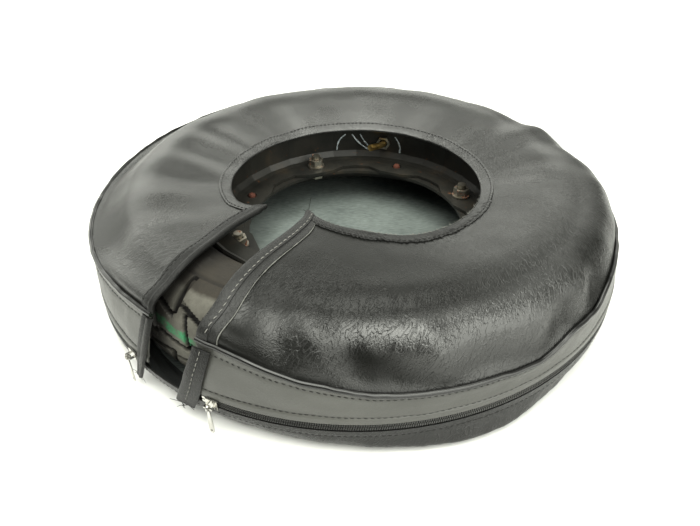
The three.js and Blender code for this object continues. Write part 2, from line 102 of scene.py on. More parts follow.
def smooth(x, low, high):
    t = np.clip((np.asarray(x, float) - low) / (high - low), 0, 1)
    return t * t * (3 - 2 * t)


def window(x, rise0, rise1, fall0, fall1):
    return smooth(x, rise0, rise1) * (1 - smooth(x, fall0, fall1))


def bell(x, centre, width):
    return np.exp(-(((x - centre) / width) ** 2))


def blur(values, passes):
    """Passes of a 1-2-1 filter along the first axis; the ends stay put."""
    values = values.copy()
    for _ in range(passes):
        values[1:-1] = 0.5 * values[1:-1] + 0.25 * (values[:-2] + values[2:])
    return values


def value_noise(u, v, seed):
    """Smooth noise in -1..1 at real coordinates, one cell per unit."""
    lattice = np.random.RandomState(seed).uniform(-1, 1, (256, 256))
    iu, iv = np.floor(u).astype(int), np.floor(v).astype(int)
    fu, fv = u - iu, v - iv
    fu = fu * fu * fu * (fu * (fu * 6 - 15) + 10)
    fv = fv * fv * fv * (fv * (fv * 6 - 15) + 10)

    def row(j):
        return lattice[iu % 256, j % 256] * (1 - fu) + lattice[(iu + 1) % 256, j % 256] * fu

    return row(iv) * (1 - fv) + row(iv + 1) * fv


def fbm(u, v, seed, octaves):
    """Octaves of value noise, each twice as fine and half as strong."""
    return sum(0.5 ** k * value_noise(u * 2 ** k + 17.3 * k, v * 2 ** k + 5.1 * k, seed + k)
               for k in range(octaves))


def unit(vectors):
    return vectors / np.maximum(np.linalg.norm(vectors, axis=-1, keepdims=True), 1e-9)


def arc(points):
    """Distance travelled along the first axis."""
    steps = np.linalg.norm(np.diff(points, axis=0), axis=-1)
    return np.concatenate([np.zeros_like(steps[:1]), np.cumsum(steps, 0)])


def resample(at, stations, points):
    return np.stack([np.interp(at, stations, points[:, c]) for c in range(3)], -1)


def normals_of(points, closed=False):
    if closed:
        along = np.roll(points, -1, 1) - np.roll(points, 1, 1)
    else:
        along = np.gradient(points, axis=1)
    return unit(np.cross(np.gradient(points, axis=0), along))


# ---------------------------------------------------------------- mesh making
def make(name, verts, faces, mats, face_mat=None, uv=None, sharp=None):
    mesh = bpy.data.meshes.new(name)
    mesh.from_pydata((np.asarray(verts, float) * MM).tolist(), [],
                     [tuple(int(i) for i in f) for f in faces])
    for mat in mats:
        mesh.materials.append(mat)
    if face_mat is not None:
        mesh.polygons.foreach_set("material_index", np.asarray(face_mat, np.int32))
    mesh.polygons.foreach_set("use_smooth", np.ones(len(mesh.polygons), bool))
    if uv is not None:
        layer = mesh.uv_layers.new(name="UVMap")
        corners = np.zeros(len(mesh.loops), np.int32)
        mesh.loops.foreach_get("vertex_index", corners)
        layer.data.foreach_set("uv", np.asarray(uv, np.float32)[corners].ravel())
    mesh.update()
    mesh.validate()
    piece = bpy.data.objects.new(name, mesh)
    bpy.context.scene.collection.objects.link(piece)
    if sharp is not None:
        mesh.set_sharp_from_angle(angle=sharp * RAD)
    return piece


def face_outwards(piece):
    bm = bmesh.new()
    bm.from_mesh(piece.data)
    bmesh.ops.recalc_face_normals(bm, faces=bm.faces)
    bm.to_mesh(piece.data)
    bm.free()


def add_attribute(piece, name, values):
    attribute = piece.data.attributes.new(name, "FLOAT", "POINT")
    attribute.data.foreach_set("value", np.asarray(values, np.float32).ravel())


def grid_faces(rows, columns, close_columns=False, start=0, close_rows=False):
    """Quads of a grid of points stored row by row."""
    i, j = np.meshgrid(np.arange(rows if close_rows else rows - 1),
                       np.arange(columns if close_columns else columns - 1), indexing="ij")
    i2, j2 = (i + 1) % rows, (j + 1) % columns
    quads = [i * columns + j, i * columns + j2, i2 * columns + j2, i2 * columns + j]
    return np.stack(quads, -1).reshape(-1, 4) + start


def sheet(name, points, mats, closed=False, attributes=None):
    """A sewn sheet: outside points[row, column], its inside, and the edges between them."""
    n, m = points.shape[:2]
    inside = points - normals_of(points, closed) * FABRIC
    verts = np.concatenate([points.reshape(-1, 3), inside.reshape(-1, 3)])
    k = n * m
    last = (n - 1) * m
    outer_faces = grid_faces(n, m, closed)[:, ::-1]
    inner_faces = grid_faces(n, m, closed, k)
    rims = []
    for j in range(m if closed else m - 1):
        j2 = (j + 1) % m
        rims.append((j, j2, k + j2, k + j))
        rims.append((last + j2, last + j, k + last + j, k + last + j2))
    if not closed:
        for i in range(n - 1):
            a, b = i * m, (i + 1) * m
            rims.append((b, a, k + a, k + b))
            rims.append((a + m - 1, b + m - 1, k + b + m - 1, k + a + m - 1))
    face_mat = [0] * len(outer_faces) + [1] * len(inner_faces) + [0] * len(rims)
    angle = np.unwrap(np.arctan2(points[..., 1], points[..., 0]), axis=1)
    uv = np.stack([angle * 0.165, arc(points) * MM], -1).reshape(-1, 2)
    piece = make(name, verts, np.concatenate([outer_faces, inner_faces, rims]), mats, face_mat,
                 np.concatenate([uv, uv]), sharp=50)
    for label, values in (attributes or {}).items():
        add_attribute(piece, label, [values, values])
    return piece


def make_tubes(name, tubes, mat, sharp=None, closed=False, recalc=True):
    """One mesh of equal tubes[tube, ring, point], end-capped unless their path is closed."""
    tubes = np.asarray(tubes, float)
    count, n, k = tubes.shape[:3]
    faces = []
    for start in np.arange(count) * n * k:
        faces.extend(grid_faces(n, k, True, start, closed))
        if not closed:
            faces.append(start + np.arange(k)[::-1])
            faces.append(start + (n - 1) * k + np.arange(k))
    piece = make(name, tubes.reshape(-1, 3), faces, [mat], sharp=sharp)
    if recalc:
        face_outwards(piece)
    return piece


def round_rings(path, radius, side, normal, sides):
    a = np.arange(sides) / sides * 2 * np.pi
    radius = np.broadcast_to(np.asarray(radius, float), (len(path),))
    return path[:, None] + radius[:, None, None] * (
        np.cos(a)[None, :, None] * side[:, None] + np.sin(a)[None, :, None] * normal[:, None])


def tube(path, radius, sides, up):
    forward = unit(np.gradient(path, axis=0))
    side = unit(np.cross(forward, np.asarray(up, float)))
    return round_rings(path, radius, side, np.cross(side, forward), sides)


# ---------------------------------------------------------------- hinge line and placing pieces
HINGE_START = tuple(polar(222.0, HINGE_DEG, ZIP_Z) * MM)
HINGE_STOP = tuple(polar(118.0, HINGE_DEG, ZIP_Z) * MM)


def place(piece, body=None, replaces=None):
    """With no body the piece is left unattached, its transform baked into its mesh."""
    if replaces:
        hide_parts(replaces)
    if body:
        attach(piece, body)
    else:
        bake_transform(piece)


def stitches(name, seam, thread, body=None, *, pitch, length, radius, lift, slant=0.0):
    """A run of stitches along seam (path, normals): each one is a short arched tube."""
    path, normals = seam
    travelled = arc(path)
    count = max(1, int((travelled[-1] - length) / pitch))
    starts = (np.arange(count) + 0.25) * pitch + RNG.uniform(-0.25, 0.25, count)
    arch = np.array([-0.45, 0.75, 1.0, 0.75, -0.45]) * (lift + radius * 0.4)
    thickness = radius * np.array([0.7, 1, 1.05, 1, 0.7])
    tubes = []
    for start in starts:
        at = np.linspace(start, start + length * RNG.uniform(0.88, 1.06), 5)
        points = resample(at, travelled, path)
        up = unit(resample(at, travelled, normals))
        side = np.cross(unit(np.gradient(points, axis=0)), up)
        sway = np.linspace(-1, 1, 5) * slant + RNG.uniform(-0.08, 0.08)
        centre = points + up * arch[:, None] + side * sway[:, None]
        tubes.append(round_rings(centre, thickness, side, up, 6))
    place(make_tubes(name, tubes, thread, recalc=False), body)


def threads(name, strands, mat):
    """Loose ends. Each strand is (root, direction, bend, length, radius)."""
    q = np.linspace(0, 1, 10)[:, None]
    tubes = []
    for root, direction, bend, length, radius in strands:
        path = root + np.array(direction) * length * q + np.array(bend) * length * q * q
        tubes.append(tube(path, np.linspace(radius, radius * 0.7, 10), 6, (0.3, 0.2, 1)))
    place(make_tubes(name, tubes, mat), "front_shell")


# ---------------------------------------------------------------- shader helpers
SOCKETS = {"color": "Base Color", "rough": "Roughness", "metal": "Metallic",
           "spec": "Specular IOR Level", "normal": "Normal"}


class Nodes:
    """Short calls that build a node tree. Inputs take either a value or another socket."""

    def __init__(self, tree):
        self.tree = tree

    def feed(self, socket, value):
        if isinstance(value, bpy.types.NodeSocket):
            self.tree.links.new(value, socket)
        else:
            socket.default_value = value

    def add(self, kind, inputs=None, **props):
        node = self.tree.nodes.new(kind)
        for key, value in props.items():
            setattr(node, key, value)
        for key, value in (inputs or {}).items():
            self.feed(node.inputs[key], value)
        return node

    def math(self, operation, *operands):
        return self.add("ShaderNodeMath", dict(enumerate(operands)), operation=operation).outputs[0]

    def remap(self, value, span, to=(0, 1), **props):
        inputs = {"From Min": span[0], "From Max": span[1], "To Min": to[0], "To Max": to[1]}
        return self.add("ShaderNodeMapRange", {**inputs, "Value": value}, **props).outputs["Result"]

    def split(self, vector):
        return self.add("ShaderNodeSeparateXYZ", {0: vector}).outputs


class Material(Nodes):
    def __init__(self, name):
        self.mat = bpy.data.materials.new(name)
        self.mat.use_nodes = True
        super().__init__(self.mat.node_tree)
        self.bsdf = self.tree.nodes["Principled BSDF"]

    def set(self, **inputs):
        for key, value in inputs.items():
            self.feed(self.bsdf.inputs[SOCKETS[key]], value)

    def ramp(self, factor, stops):
        node = self.add("ShaderNodeValToRGB", {"Fac": factor})
        elements = node.color_ramp.elements
        while len(elements) < len(stops):
            elements.new(0.5)
        for element, (position, color) in zip(elements, stops):
            element.position = position
            element.color = (*color, 1)
        return node.outputs["Color"]

    def mix(self, factor, a, b):
        a, b = ((*c, 1) if isinstance(c, tuple) else c for c in (a, b))
        inputs = {"Factor": factor, "A": a, "B": b}
        return self.add("ShaderNodeMix", inputs, data_type="RGBA").outputs["Result"]

    def attribute(self, name):
        return self.add("ShaderNodeAttribute", attribute_name=name).outputs["Fac"]

    def coords(self, kind="Object", scale=(1, 1, 1), turn=0.0):
        out = self.add("ShaderNodeTexCoord").outputs[kind]
        if turn:
            inputs = {"Rotation": (0, 0, turn), "Vector": out}
            out = self.add("ShaderNodeMapping", inputs).outputs["Vector"]
        return self.add("ShaderNodeMapping", {"Scale": scale, "Vector": out}).outputs["Vector"]

    def noise(self, vector, scale, detail=4, rough=0.55, output="Fac"):
        inputs = {"Scale": scale, "Detail": detail, "Roughness": rough, "Vector": vector}
        return self.add("ShaderNodeTexNoise", inputs).outputs[output]

    def cell_edges(self, vector, scale):
        inputs = {"Scale": scale, "Vector": vector}
        return self.add("ShaderNodeTexVoronoi", inputs,
                        feature="DISTANCE_TO_EDGE").outputs["Distance"]

    def vector_math(self, operation, inputs):
        return self.add("ShaderNodeVectorMath", inputs, operation=operation).outputs[0]

    def warp(self, vector, scale, amount):
        shift = self.noise(vector, scale, detail=2, rough=0.5, output="Color")
        shift = self.vector_math("SUBTRACT", {0: shift, 1: (0.5, 0.5, 0.5)})
        shift = self.vector_math("SCALE", {0: shift, "Scale": amount})
        return self.vector_math("ADD", {0: vector, 1: shift})

    def bump(self, height, strength, distance, under=None):
        inputs = {"Strength": strength, "Distance": distance, "Height": height}
        if under is not None:
            inputs["Normal"] = under
        return self.add("ShaderNodeBump", inputs).outputs["Normal"]


# ---------------------------------------------------------------- materials
def vinyl(name, *, base, rough, grain, crease, spec=0.5, tint=(1, 1, 0.94), uv=False,
          crease_map=False, gloss_map=False):
    """Vinyl with a fine pebble, a net of thin slanting creases and a soft change of sheen."""
    m = Material(name)
    kind = "UV" if uv else "Object"
    vec = m.coords(kind)
    stretched = m.coords(kind, scale=(1.0, 0.32, 1), turn=-0.40) if uv else vec

    pebble_vec = m.warp(vec, scale=240, amount=0.0012)
    cells = m.cell_edges(pebble_vec, scale=620)
    fine = m.cell_edges(pebble_vec, scale=1250)
    pebble = m.math("ADD", m.remap(cells, (0, 0.24)),
                    m.math("MULTIPLY", m.remap(fine, (0, 0.3)), 0.3))

    net_vec = m.warp(m.warp(stretched, scale=45, amount=0.006), scale=220, amount=0.0014)

    def crease_lines(scale, level, width):
        noise = m.noise(net_vec, scale, detail=2, rough=0.5)
        return m.remap(m.math("ABSOLUTE", m.math("SUBTRACT", noise, level)), (0, width))

    net = m.remap(m.cell_edges(net_vec, scale=340), (0, 0.12))
    lines = crease_lines(scale=250, level=0.5, width=0.035)
    finer_lines = crease_lines(scale=390, level=0.47, width=0.03)
    weight = m.remap(m.noise(vec, scale=30, detail=3), (0.36, 0.58), to=(0.35, 1))
    if crease_map:
        weight = m.math("MULTIPLY", weight, m.attribute("crease"))
    total = m.math("SUBTRACT", m.math("SUBTRACT", m.math("MULTIPLY", net, 0.22), lines),
                   m.math("MULTIPLY", finer_lines, 0.7))
    height = m.math("MULTIPLY", m.math("ADD", total, 1.7), weight)

    normal = m.bump(pebble, strength=0.3 * grain, distance=0.00016)
    normal = m.bump(height, strength=1.0 * crease, distance=0.00062, under=normal)
    swell = m.noise(vec, scale=60, detail=2)
    normal = m.bump(swell, strength=0.04, distance=0.0010, under=normal)
    dark = tuple(base * 0.8 * t for t in tint)
    light = tuple(base * 1.25 * t for t in tint)
    m.set(normal=normal, color=m.ramp(m.noise(vec, scale=9), [(0.3, dark), (0.7, light)]))
    # the gaps between the pebbles are duller
    sheen = m.remap(m.noise(vec, scale=10, detail=2), (0.3, 0.7), to=(rough - 0.03, rough + 0.04))
    gaps = m.math("SUBTRACT", 1.0, m.remap(cells, (0, 0.12)))
    m.set(rough=m.math("ADD", sheen, m.math("MULTIPLY", gaps, 0.10)), spec=spec)
    if gloss_map:
        m.set(spec=m.math("MULTIPLY", m.attribute("gloss"), spec))
    return m.mat


def cloth(name, dark, light, *, scale, bump, stretch=(1, 1, 1), rough=0.9, blotch=12):
    m = Material(name)
    fibre = m.noise(m.coords(scale=stretch), scale, detail=5, rough=0.65)
    blotches = m.noise(m.coords(), scale=blotch)
    tone = m.math("ADD", m.math("MULTIPLY", fibre, 0.5), m.math("MULTIPLY", blotches, 0.5))
    m.set(color=m.ramp(tone, [(0.36, dark), (0.64, light)]),
          normal=m.bump(fibre, strength=bump, distance=0.0004), rough=rough, spec=0.25)
    return m.mat


def metal(name, dark, light, *, rough, scale, bump, rust=0.0):
    m = Material(name)
    vec = m.coords()
    base = m.ramp(m.noise(vec, scale, detail=6, rough=0.6), [(0.35, dark), (0.65, light)])
    if rust > 0:
        spots = m.remap(m.noise(vec, scale * 1.7, detail=6, rough=0.7),
                        (0.62 - rust * 0.12, 0.66 - rust * 0.1))
        m.set(color=m.mix(spots, base, (0.16, 0.055, 0.025)),
              metal=m.math("SUBTRACT", 1.0, m.math("MULTIPLY", spots, 0.9)),
              rough=m.remap(spots, (0, 1), to=(rough, 0.85)))
    else:
        m.set(color=base, metal=1.0, rough=m.remap(
            m.noise(vec, scale * 3), (0.3, 0.7), to=(rough * 0.7, rough * 1.4)))
    m.set(normal=m.bump(m.noise(vec, scale * 8), strength=bump, distance=0.0003))
    return m.mat


def rim_paint():
    """Dark paint with small rust spots."""
    m = Material("rim_paint")
    vec = m.coords()
    base = m.ramp(m.noise(vec, scale=40, detail=6, rough=0.6),
                  [(0.3, (0.008, 0.008, 0.007)), (0.55, (0.016, 0.015, 0.0125)),
                   (0.75, (0.032, 0.024, 0.016))])
    spots = m.remap(m.noise(vec, scale=150, detail=7, rough=0.72), (0.635, 0.68))
    m.set(color=m.mix(spots, base, (0.11, 0.045, 0.02)),
          rough=m.remap(spots, (0, 1), to=(0.42, 0.8)), spec=0.28,
          normal=m.bump(m.noise(vec, scale=400, detail=5), strength=0.25, distance=0.0003))
    return m.mat


def white_paint():
    m = Material("white_paint_mark")
    m.set(color=m.ramp(m.noise(m.coords(), scale=500, detail=5),
                       [(0.35, (0.2, 0.24, 0.26)), (0.6, (0.62, 0.68, 0.71))]), rough=0.8)
    return m.mat


def dusty_rubber():
    m = Material("dusty_rubber")
    vec = m.coords()
    dust = m.noise(vec, scale=34, detail=8, rough=0.68)
    wall = m.ramp(dust, [(0.3, (0.009, 0.0075, 0.0055)), (0.7, (0.028, 0.0235, 0.0175))])
    block = m.ramp(dust, [(0.3, (0.03, 0.028, 0.023)), (0.7, (0.115, 0.11, 0.093))])
    x, y, z = m.split(vec)

    # the tread blocks are dustier than the wall
    radius = m.math("SQRT", m.math("ADD", m.math("MULTIPLY", x, x), m.math("MULTIPLY", y, y)))
    ragged = m.math("MULTIPLY", m.noise(vec, scale=120, detail=3), 0.004)
    base = m.mix(m.remap(m.math("ADD", radius, ragged), (0.190, 0.1935)), wall, block)

    # a worn streak of green paint in the slit, around this angle (radians) and height (metres)
    streak_angle, streak_z = 2.225, 0.0665
    angle = m.math("ARCTAN2", y, x)
    near_streak = m.remap(m.math("ABSOLUTE", m.math("ADD", angle, streak_angle)),
                          (0.10, 0.135), to=(1, 0))
    slope = m.math("MULTIPLY", m.math("ADD", angle, streak_angle), 0.03)
    wavy_z = m.math("ADD", m.math("ADD", z, slope),
                    m.math("MULTIPLY", m.noise(vec, scale=60, detail=3), 0.008))
    line = m.remap(m.math("ABSOLUTE", m.math("SUBTRACT", wavy_z, streak_z)),
                   (0.0022, 0.0036), to=(1, 0))
    worn = m.remap(m.noise(vec, scale=260, detail=5, rough=0.7), (0.38, 0.56), to=(0.1, 1))
    paint = m.math("MULTIPLY", m.math("MULTIPLY", line, near_streak),
                   m.math("MULTIPLY", worn, 0.85))
    base = m.mix(paint, base, (0.02, 0.17, 0.07))

    # the grooves are darkened almost to black: partly dirt in them, partly painted shade in the
    # recesses
    base = m.mix(m.remap(m.attribute("groove"), (0.1, 0.55)), base, (0.0035, 0.003, 0.0028))
    # painted shade: the side under the slit's left edge is darkened, standing in for the shadow it
    # lies in
    shade = m.remap(angle, (-2.27, -2.17), to=(0.9, 0.0))
    m.set(color=m.mix(shade, base, (0.004, 0.0035, 0.003)), spec=0.22,
          normal=m.bump(m.noise(vec, scale=700, detail=5, rough=0.65), 0.6, distance=0.0005),
          rough=m.remap(dust, (0.3, 0.7), to=(0.55, 0.75)))
    return m.mat


M = {
    "vinyl": vinyl("front_vinyl", base=0.0045, rough=0.275, grain=1.15, crease=0.55, uv=True,
                   tint=(1, 1.02, 0.9), crease_map=True, gloss_map=True),
    # painted light: the band's colour is much lighter than the other vinyl, standing in for the
    # bright floor that it reflects
    "band": vinyl("band_vinyl", base=0.043, rough=0.40, grain=0.4, crease=0.12, uv=True,
                  tint=(1, 1, 0.9)),
    "lower": vinyl("lower_vinyl", base=0.005, rough=0.32, grain=0.8, crease=0.5, uv=True,
                   spec=0.4),
    "binding": vinyl("binding_vinyl", base=0.005, rough=0.36, grain=1.3, crease=0.3, spec=0.3),
    "hem": vinyl("hem_vinyl", base=0.005, rough=0.28, grain=0.9, crease=0.3, gloss_map=True),
    # a darker, less shiny copy of the binding vinyl for the left roll and the hanging ends: painted
    # shade
    "binding_dark": vinyl("binding_vinyl_dark", base=0.004, rough=0.34, grain=1.3, crease=0.3,
                          spec=0.2),
    "cord": vinyl("piping_vinyl", base=0.003, rough=0.17, grain=0.1, crease=0.0),
    "inside": cloth("knit_backing", (0.012, 0.013, 0.013), (0.03, 0.032, 0.032),
                    scale=1400, bump=0.4),
    "lining": cloth("brushed_backing", (0.050, 0.059, 0.056), (0.150, 0.172, 0.163),
                    scale=150, bump=0.7, stretch=(1.1, 7, 1), rough=0.85, blotch=14),
    "tape": cloth("woven_tape", (0.004, 0.004, 0.004), (0.012, 0.012, 0.012),
                  scale=2400, bump=0.5),
    "thread": cloth("sewing_thread", (0.006, 0.006, 0.006), (0.02, 0.02, 0.019),
                    scale=4000, bump=0.4, rough=0.6),
    "thread_light": cloth("sewing_thread_worn", (0.09, 0.09, 0.08), (0.22, 0.215, 0.2),
                          scale=3000, bump=0.4, rough=0.6),
    "frayed": cloth("frayed_edge", (0.07, 0.07, 0.065), (0.2, 0.2, 0.185),
                    scale=2200, bump=0.9),
    "teeth": cloth("moulded_teeth", (0.018, 0.018, 0.017), (0.04, 0.04, 0.038),
                   scale=3000, bump=0.1, rough=0.34),
    "chrome": metal("plated_metal", (0.42, 0.41, 0.38), (0.6, 0.59, 0.56),
                    rough=0.14, scale=90, bump=0.05),
    "zinc": metal("dull_zinc", (0.22, 0.2, 0.165), (0.44, 0.41, 0.35),
                  rough=0.42, scale=110, bump=0.3, rust=0.25),
    "brass": metal("worn_brass", (0.34, 0.22, 0.07), (0.56, 0.4, 0.15),
                   rough=0.36, scale=90, bump=0.2),
    "rim": rim_paint(),
    "rust": cloth("rusty_stud", (0.03, 0.010, 0.007), (0.11, 0.036, 0.022),
                  scale=500, bump=0.6, rough=0.8),
    "mark": white_paint(),
    "tyre": dusty_rubber(),
    "tube": cloth("tube_rubber", (0.008, 0.008, 0.008), (0.016, 0.016, 0.016),
                  scale=200, bump=0.2, rough=0.6),
}

# ---------------------------------------------------------------- outlines of the front
# (angle, radius or height) round the piping, the opening and the crown between them
piping_r = curve([
    [-132, 214], [-120, 215.4], [-114, 216.2], [-108, 218.8], [-102, 221], [-94, 222],
    [-84, 222.5], [-66, 223], [-56, 222.6], [-48, 221.6], [-40, 221.6], [-32, 220],
    [-22, 217.8], [-14, 217], [-2, 216.4], [5, 214.8], [10, 213.8], [17, 213.2], [24, 213.2],
    [31, 214.4], [38, 216.2], [46, 219.6], [63, 222.4], [90, 222], [135, 221.6], [180, 222.2],
    [195, 222], [206, 220.5], [217, 217.5], [228, 216]])
piping_z = curve([
    [-132, 75.5], [-118, 74.5], [-112, 73.4], [-108, 72], [-102, 67.6], [-94, 62], [-84, 56],
    [-75, 54.4], [-66, 54], [-60, 51.4], [-55, 50.6], [-51, 55], [-47.5, 58.8], [-43, 57.4],
    [-39.5, 57.6], [-36, 63], [-32, 66.4], [-20, 66.8], [-2.5, 66.2], [4, 64.4], [10, 63.6],
    [16, 65.4], [24, 67.8], [36, 69], [50, 72.5], [63, 75], [87, 77.6], [102, 76.2],
    [150, 72.5], [180, 70.4], [205, 70.2], [219, 72.6], [229, 74.6]])
opening_r = curve([
    [-118.5, 78], [-110, 84], [-98, 93], [-88, 98.5], [-76, 104], [-62, 107], [-40, 107],
    [180, 107], [205, 106], [214, 101], [222, 94]])
opening_z = curve([
    [-118.5, 94], [-88, 96], [-70, 92], [-45, 87], [-15, 83], [30, 80.5], [90, 79.5],
    [150, 81], [180, 84], [205, 89], [222, 93]])
crown_z = curve([[-118, 98.2], [-60, 97.8], [0, 97.4], [90, 97.2], [180, 97.4], [228, 98.2]])
# (place across the panel, angle) of the slit's two edges: 0 at the opening, 1 at the piping
slit_right = curve([[0, -118.6], [0.15, -116.2], [0.5, -117.6], [0.8, -117.2], [1, -118.2]])
slit_left = curve([[0, 220.6], [0.12, 222.8], [0.3, 226.0], [0.5, 229.0], [0.75, 230.8],
                   [1, 230.4]])

# Folds: angle, angular width, place across, width across, height, skew (degrees per unit across)
DRAPE_FOLDS = [
    (140, 5, 0.25, 0.3, 0.9, 10), (150, 4, 0.3, 0.35, -1.1, 8), (159, 4, 0.3, 0.3, 1.3, 4),
    (168, 4.5, 0.25, 0.35, -1.5, -4), (177, 4.5, 0.25, 0.3, 1.6, -6),
    (187, 5, 0.3, 0.4, -1.7, -10), (197, 5, 0.3, 0.35, 1.4, -10), (207, 6, 0.45, 0.35, -1.0, -8),
    (214, 4, 0.6, 0.3, 0.8, 0), (128, 6, 0.35, 0.4, -0.8, 8), (115, 7, 0.4, 0.4, 0.7, 6),
    (100, 6, 0.45, 0.35, -0.9, 0), (88, 5, 0.5, 0.35, 1.0, -4), (76, 6, 0.45, 0.35, -1.0, 4),
    (64, 6, 0.4, 0.35, 0.8, 6), (52, 6, 0.45, 0.3, -0.9, 8), (41, 5, 0.5, 0.35, 0.9, 6),
    (32, 4, 0.6, 0.3, -3.0, 4), (24, 3.4, 0.72, 0.24, 2.2, 2), (14.5, 3.4, 0.74, 0.30, -1.4, 0),
    (5, 3.6, 0.74, 0.24, 1.5, -4), (-3, 5, 0.62, 0.26, 1.3, -6), (-14, 6, 0.5, 0.3, -0.6, -4)]
NEAR_FOLDS = [
    (-111, 3.4, 0.80, 0.16, -2.2, 6), (-104, 3.0, 0.82, 0.15, -2.4, 8),
    (-97.5, 2.6, 0.80, 0.16, 2.2, 10), (-90.5, 3.2, 0.84, 0.14, -3.0, 8),
    (-84.5, 2.6, 0.86, 0.12, -2.4, 8), (-76.5, 3.0, 0.82, 0.17, 3.2, 8),
    (-67, 4.2, 0.88, 0.13, -1.8, 2), (-56, 4.2, 0.82, 0.17, 1.6, 0),
    (-50.5, 2.6, 0.90, 0.12, -2.2, 0), (-43.5, 3.2, 0.84, 0.16, 1.8, 0),
    (-37.5, 2.6, 0.88, 0.14, -2.0, 0), (-28, 5, 0.75, 0.2, 1.2, 0)]
# Dull patches: angle, angular width, radius, radial width, strength, tilt (degrees per mm)
DULL_PATCHES = [
    (-111.5, 6.4, 208.0, 8.5, 0.88, 0.35), (-87.5, 6.4, 212.5, 6.5, 0.9, 0.45),
    (-49, 3.5, 213, 6, 0.5, 0.0), (-38, 5, 212, 7, 0.5, 0.0)]


# ---------------------------------------------------------------- front panel
def front_section(angle, across):
    """Radius and height from the opening to the piping, at one angle."""
    hole_r, hole_z, crown = opening_r(angle), opening_z(angle), crown_z(angle)
    pipe_r, pipe_z = piping_r(angle), piping_z(angle)
    hug = bell(angle, 20, 15)                  # drawn in tight on the right
    slim = window(angle, 22, 44, 206, 222)     # a slacker shoulder on the far and left sides
    points = np.array([
        [hole_r, hole_z],
        [(hole_r + 170) / 2, hole_z + (crown - hole_z) * 0.62],
        [169, crown],
        [187, crown - 2.2 - 1.8 * slim],
        [199 - 1.5 * hug - 0.8 * slim, crown - 8.5 - 4.6 * slim],
        [209.2 + (pipe_r - 209.2) * 0.18 - 3.2 * hug - 1.9 * slim,
         max(pipe_z + 10 - 5.4 * slim, crown - 18 - 3 * slim)],
        [213.4 + (pipe_r - 213.4) * 0.4 - 2.4 * hug - 1.2 * slim, pipe_z + 6.5 - 4.2 * slim],
        [pipe_r - 1.7, pipe_z + 0.9]])
    travelled = arc(points)
    travelled = travelled / travelled[-1]
    return np.stack([blur(curve(np.c_[travelled, points[:, c]])(across), 40) for c in (0, 1)], -1)


def front_grid():
    rows = np.linspace(0, 1, FRONT_ROWS + 1)
    across, along = np.meshgrid(rows, np.linspace(0, 1, FRONT_COLUMNS + 1), indexing="ij")
    angle = (1 - along) * slit_right(across) + along * slit_left(across)
    stations = np.arange(-120.0, 232.5, 0.75)
    sections = blur(np.array([front_section(a, rows) for a in stations]), 12)
    radius, z = (np.array([np.interp(angle[i], stations, sections[:, i, c])
                           for i in range(len(rows))]) for c in (0, 1))
    return across, along, angle, radius, z


def fold(across, angle, centre, width, row, row_width, height, skew):
    """A soft ridge (or valley) lying across the panel."""
    return (height * bell(angle - centre - skew * (across - row), 0, width)
            * bell(across, row, row_width))


def front_relief(across, along, angle, radius, shoulder):
    """How far the panel stands off its smooth form."""
    lift = np.zeros_like(angle)
    # soft drape on the left, far and right sides
    for centre, width, row, row_width, height, skew in DRAPE_FOLDS:
        gain = 1.2 if centre > 132 else (0.75 if centre > 28 else 1.0)
        width *= 1.25 if centre > 28 else 1.0
        lift += (fold(across, angle, centre, width, row, row_width, height * gain, skew)
                 * (0.45 + 0.55 * smooth(across, 0.03, 0.42)))
    # the near shoulder: a valley inside it, a fuller roll outside it
    lift += window(angle, -117, -104, -12, 10) * (
        -1.7 * bell(radius, 186.5, 7.5)
        + 2.7 * bell(radius, 203, 9.5) * smooth(angle, -117, -96)
        + 0.6 * bell(radius, 168, 12))
    # folds that run down from the roll to the piping
    for row in NEAR_FOLDS:
        lift += fold(across, angle, *row)
    # the left shoulder, beside the slit
    lift += window(angle, 198, 210, 227, 231) * (1.5 * bell(across, 0.66, 0.11)
                                                 - 1.3 * bell(across, 0.86, 0.08))
    # lengths along and across the cloth, for the noise
    u, v = angle * RAD * 165, across * 145
    lift += 0.7 * fbm(u / 40, v / 50, 11, 2)
    lift += 0.05 * fbm(u / 12, v / 21, 21, 2)
    # fine slanting creases over the shoulder
    lean = u + 0.42 * v + 1.4 * value_noise(u / 11, v / 11, 35)
    coarse = 1 - np.abs(value_noise(lean / 5.2, v / 26.0, 31)) * 3.0
    fine = 1 - np.abs(value_noise(lean / 4.0 + 40, v / 19.0 + 7, 32)) * 3.0
    patchy = smooth(value_noise(u / 16 + 3, v / 14, 33), -0.5, 0.5)
    lift += shoulder * (0.07 + 0.15 * patchy) * (
        np.maximum(coarse, 0) ** 2.5 + 0.7 * np.maximum(fine, 0) ** 2.5)
    # flatter at the sewn edges
    inner = window(across, 0, 0.05, 0.94, 1.0) * window(along, 0, 0.012, 0.988, 1)
    return lift * (0.15 + 0.85 * inner)


def front_gloss(angle, radius):
    """Dull where the vinyl hangs slack, brighter where it is drawn over the shoulder."""
    drop = 22 * smooth(angle, -5, 20)
    gloss = 1 - 0.60 * window(angle, -122, -112, -74, -42) * (1 - smooth(radius, 186, 196))
    gloss *= 1 + 0.50 * window(angle, -25, 10, 165, 185) * (1 - smooth(radius, 146, 166))
    gloss *= 1 - 0.72 * window(angle, -50, -32, 40, 66) * smooth(radius, 184 - drop, 200 - drop)
    gloss *= 1 - (0.60 * smooth(angle, 120, 165) * (1 - 0.85 * smooth(angle, 203, 213))
                  * smooth(radius, 180, 194))
    gloss *= 1 + 0.42 * smooth(angle, 200, 212) * smooth(radius, 178, 194)
    gloss *= 1 + (0.56 * window(angle, -98, -84, -56, -38)
                  * window(radius, 191, 199, 213, 217))
    for centre, width, at_radius, radial_width, strength, tilt in DULL_PATCHES:
        gloss *= 1 - (strength * bell(angle - centre - tilt * (radius - at_radius), 0, width)
                      * bell(radius, at_radius, radial_width))
    return gloss


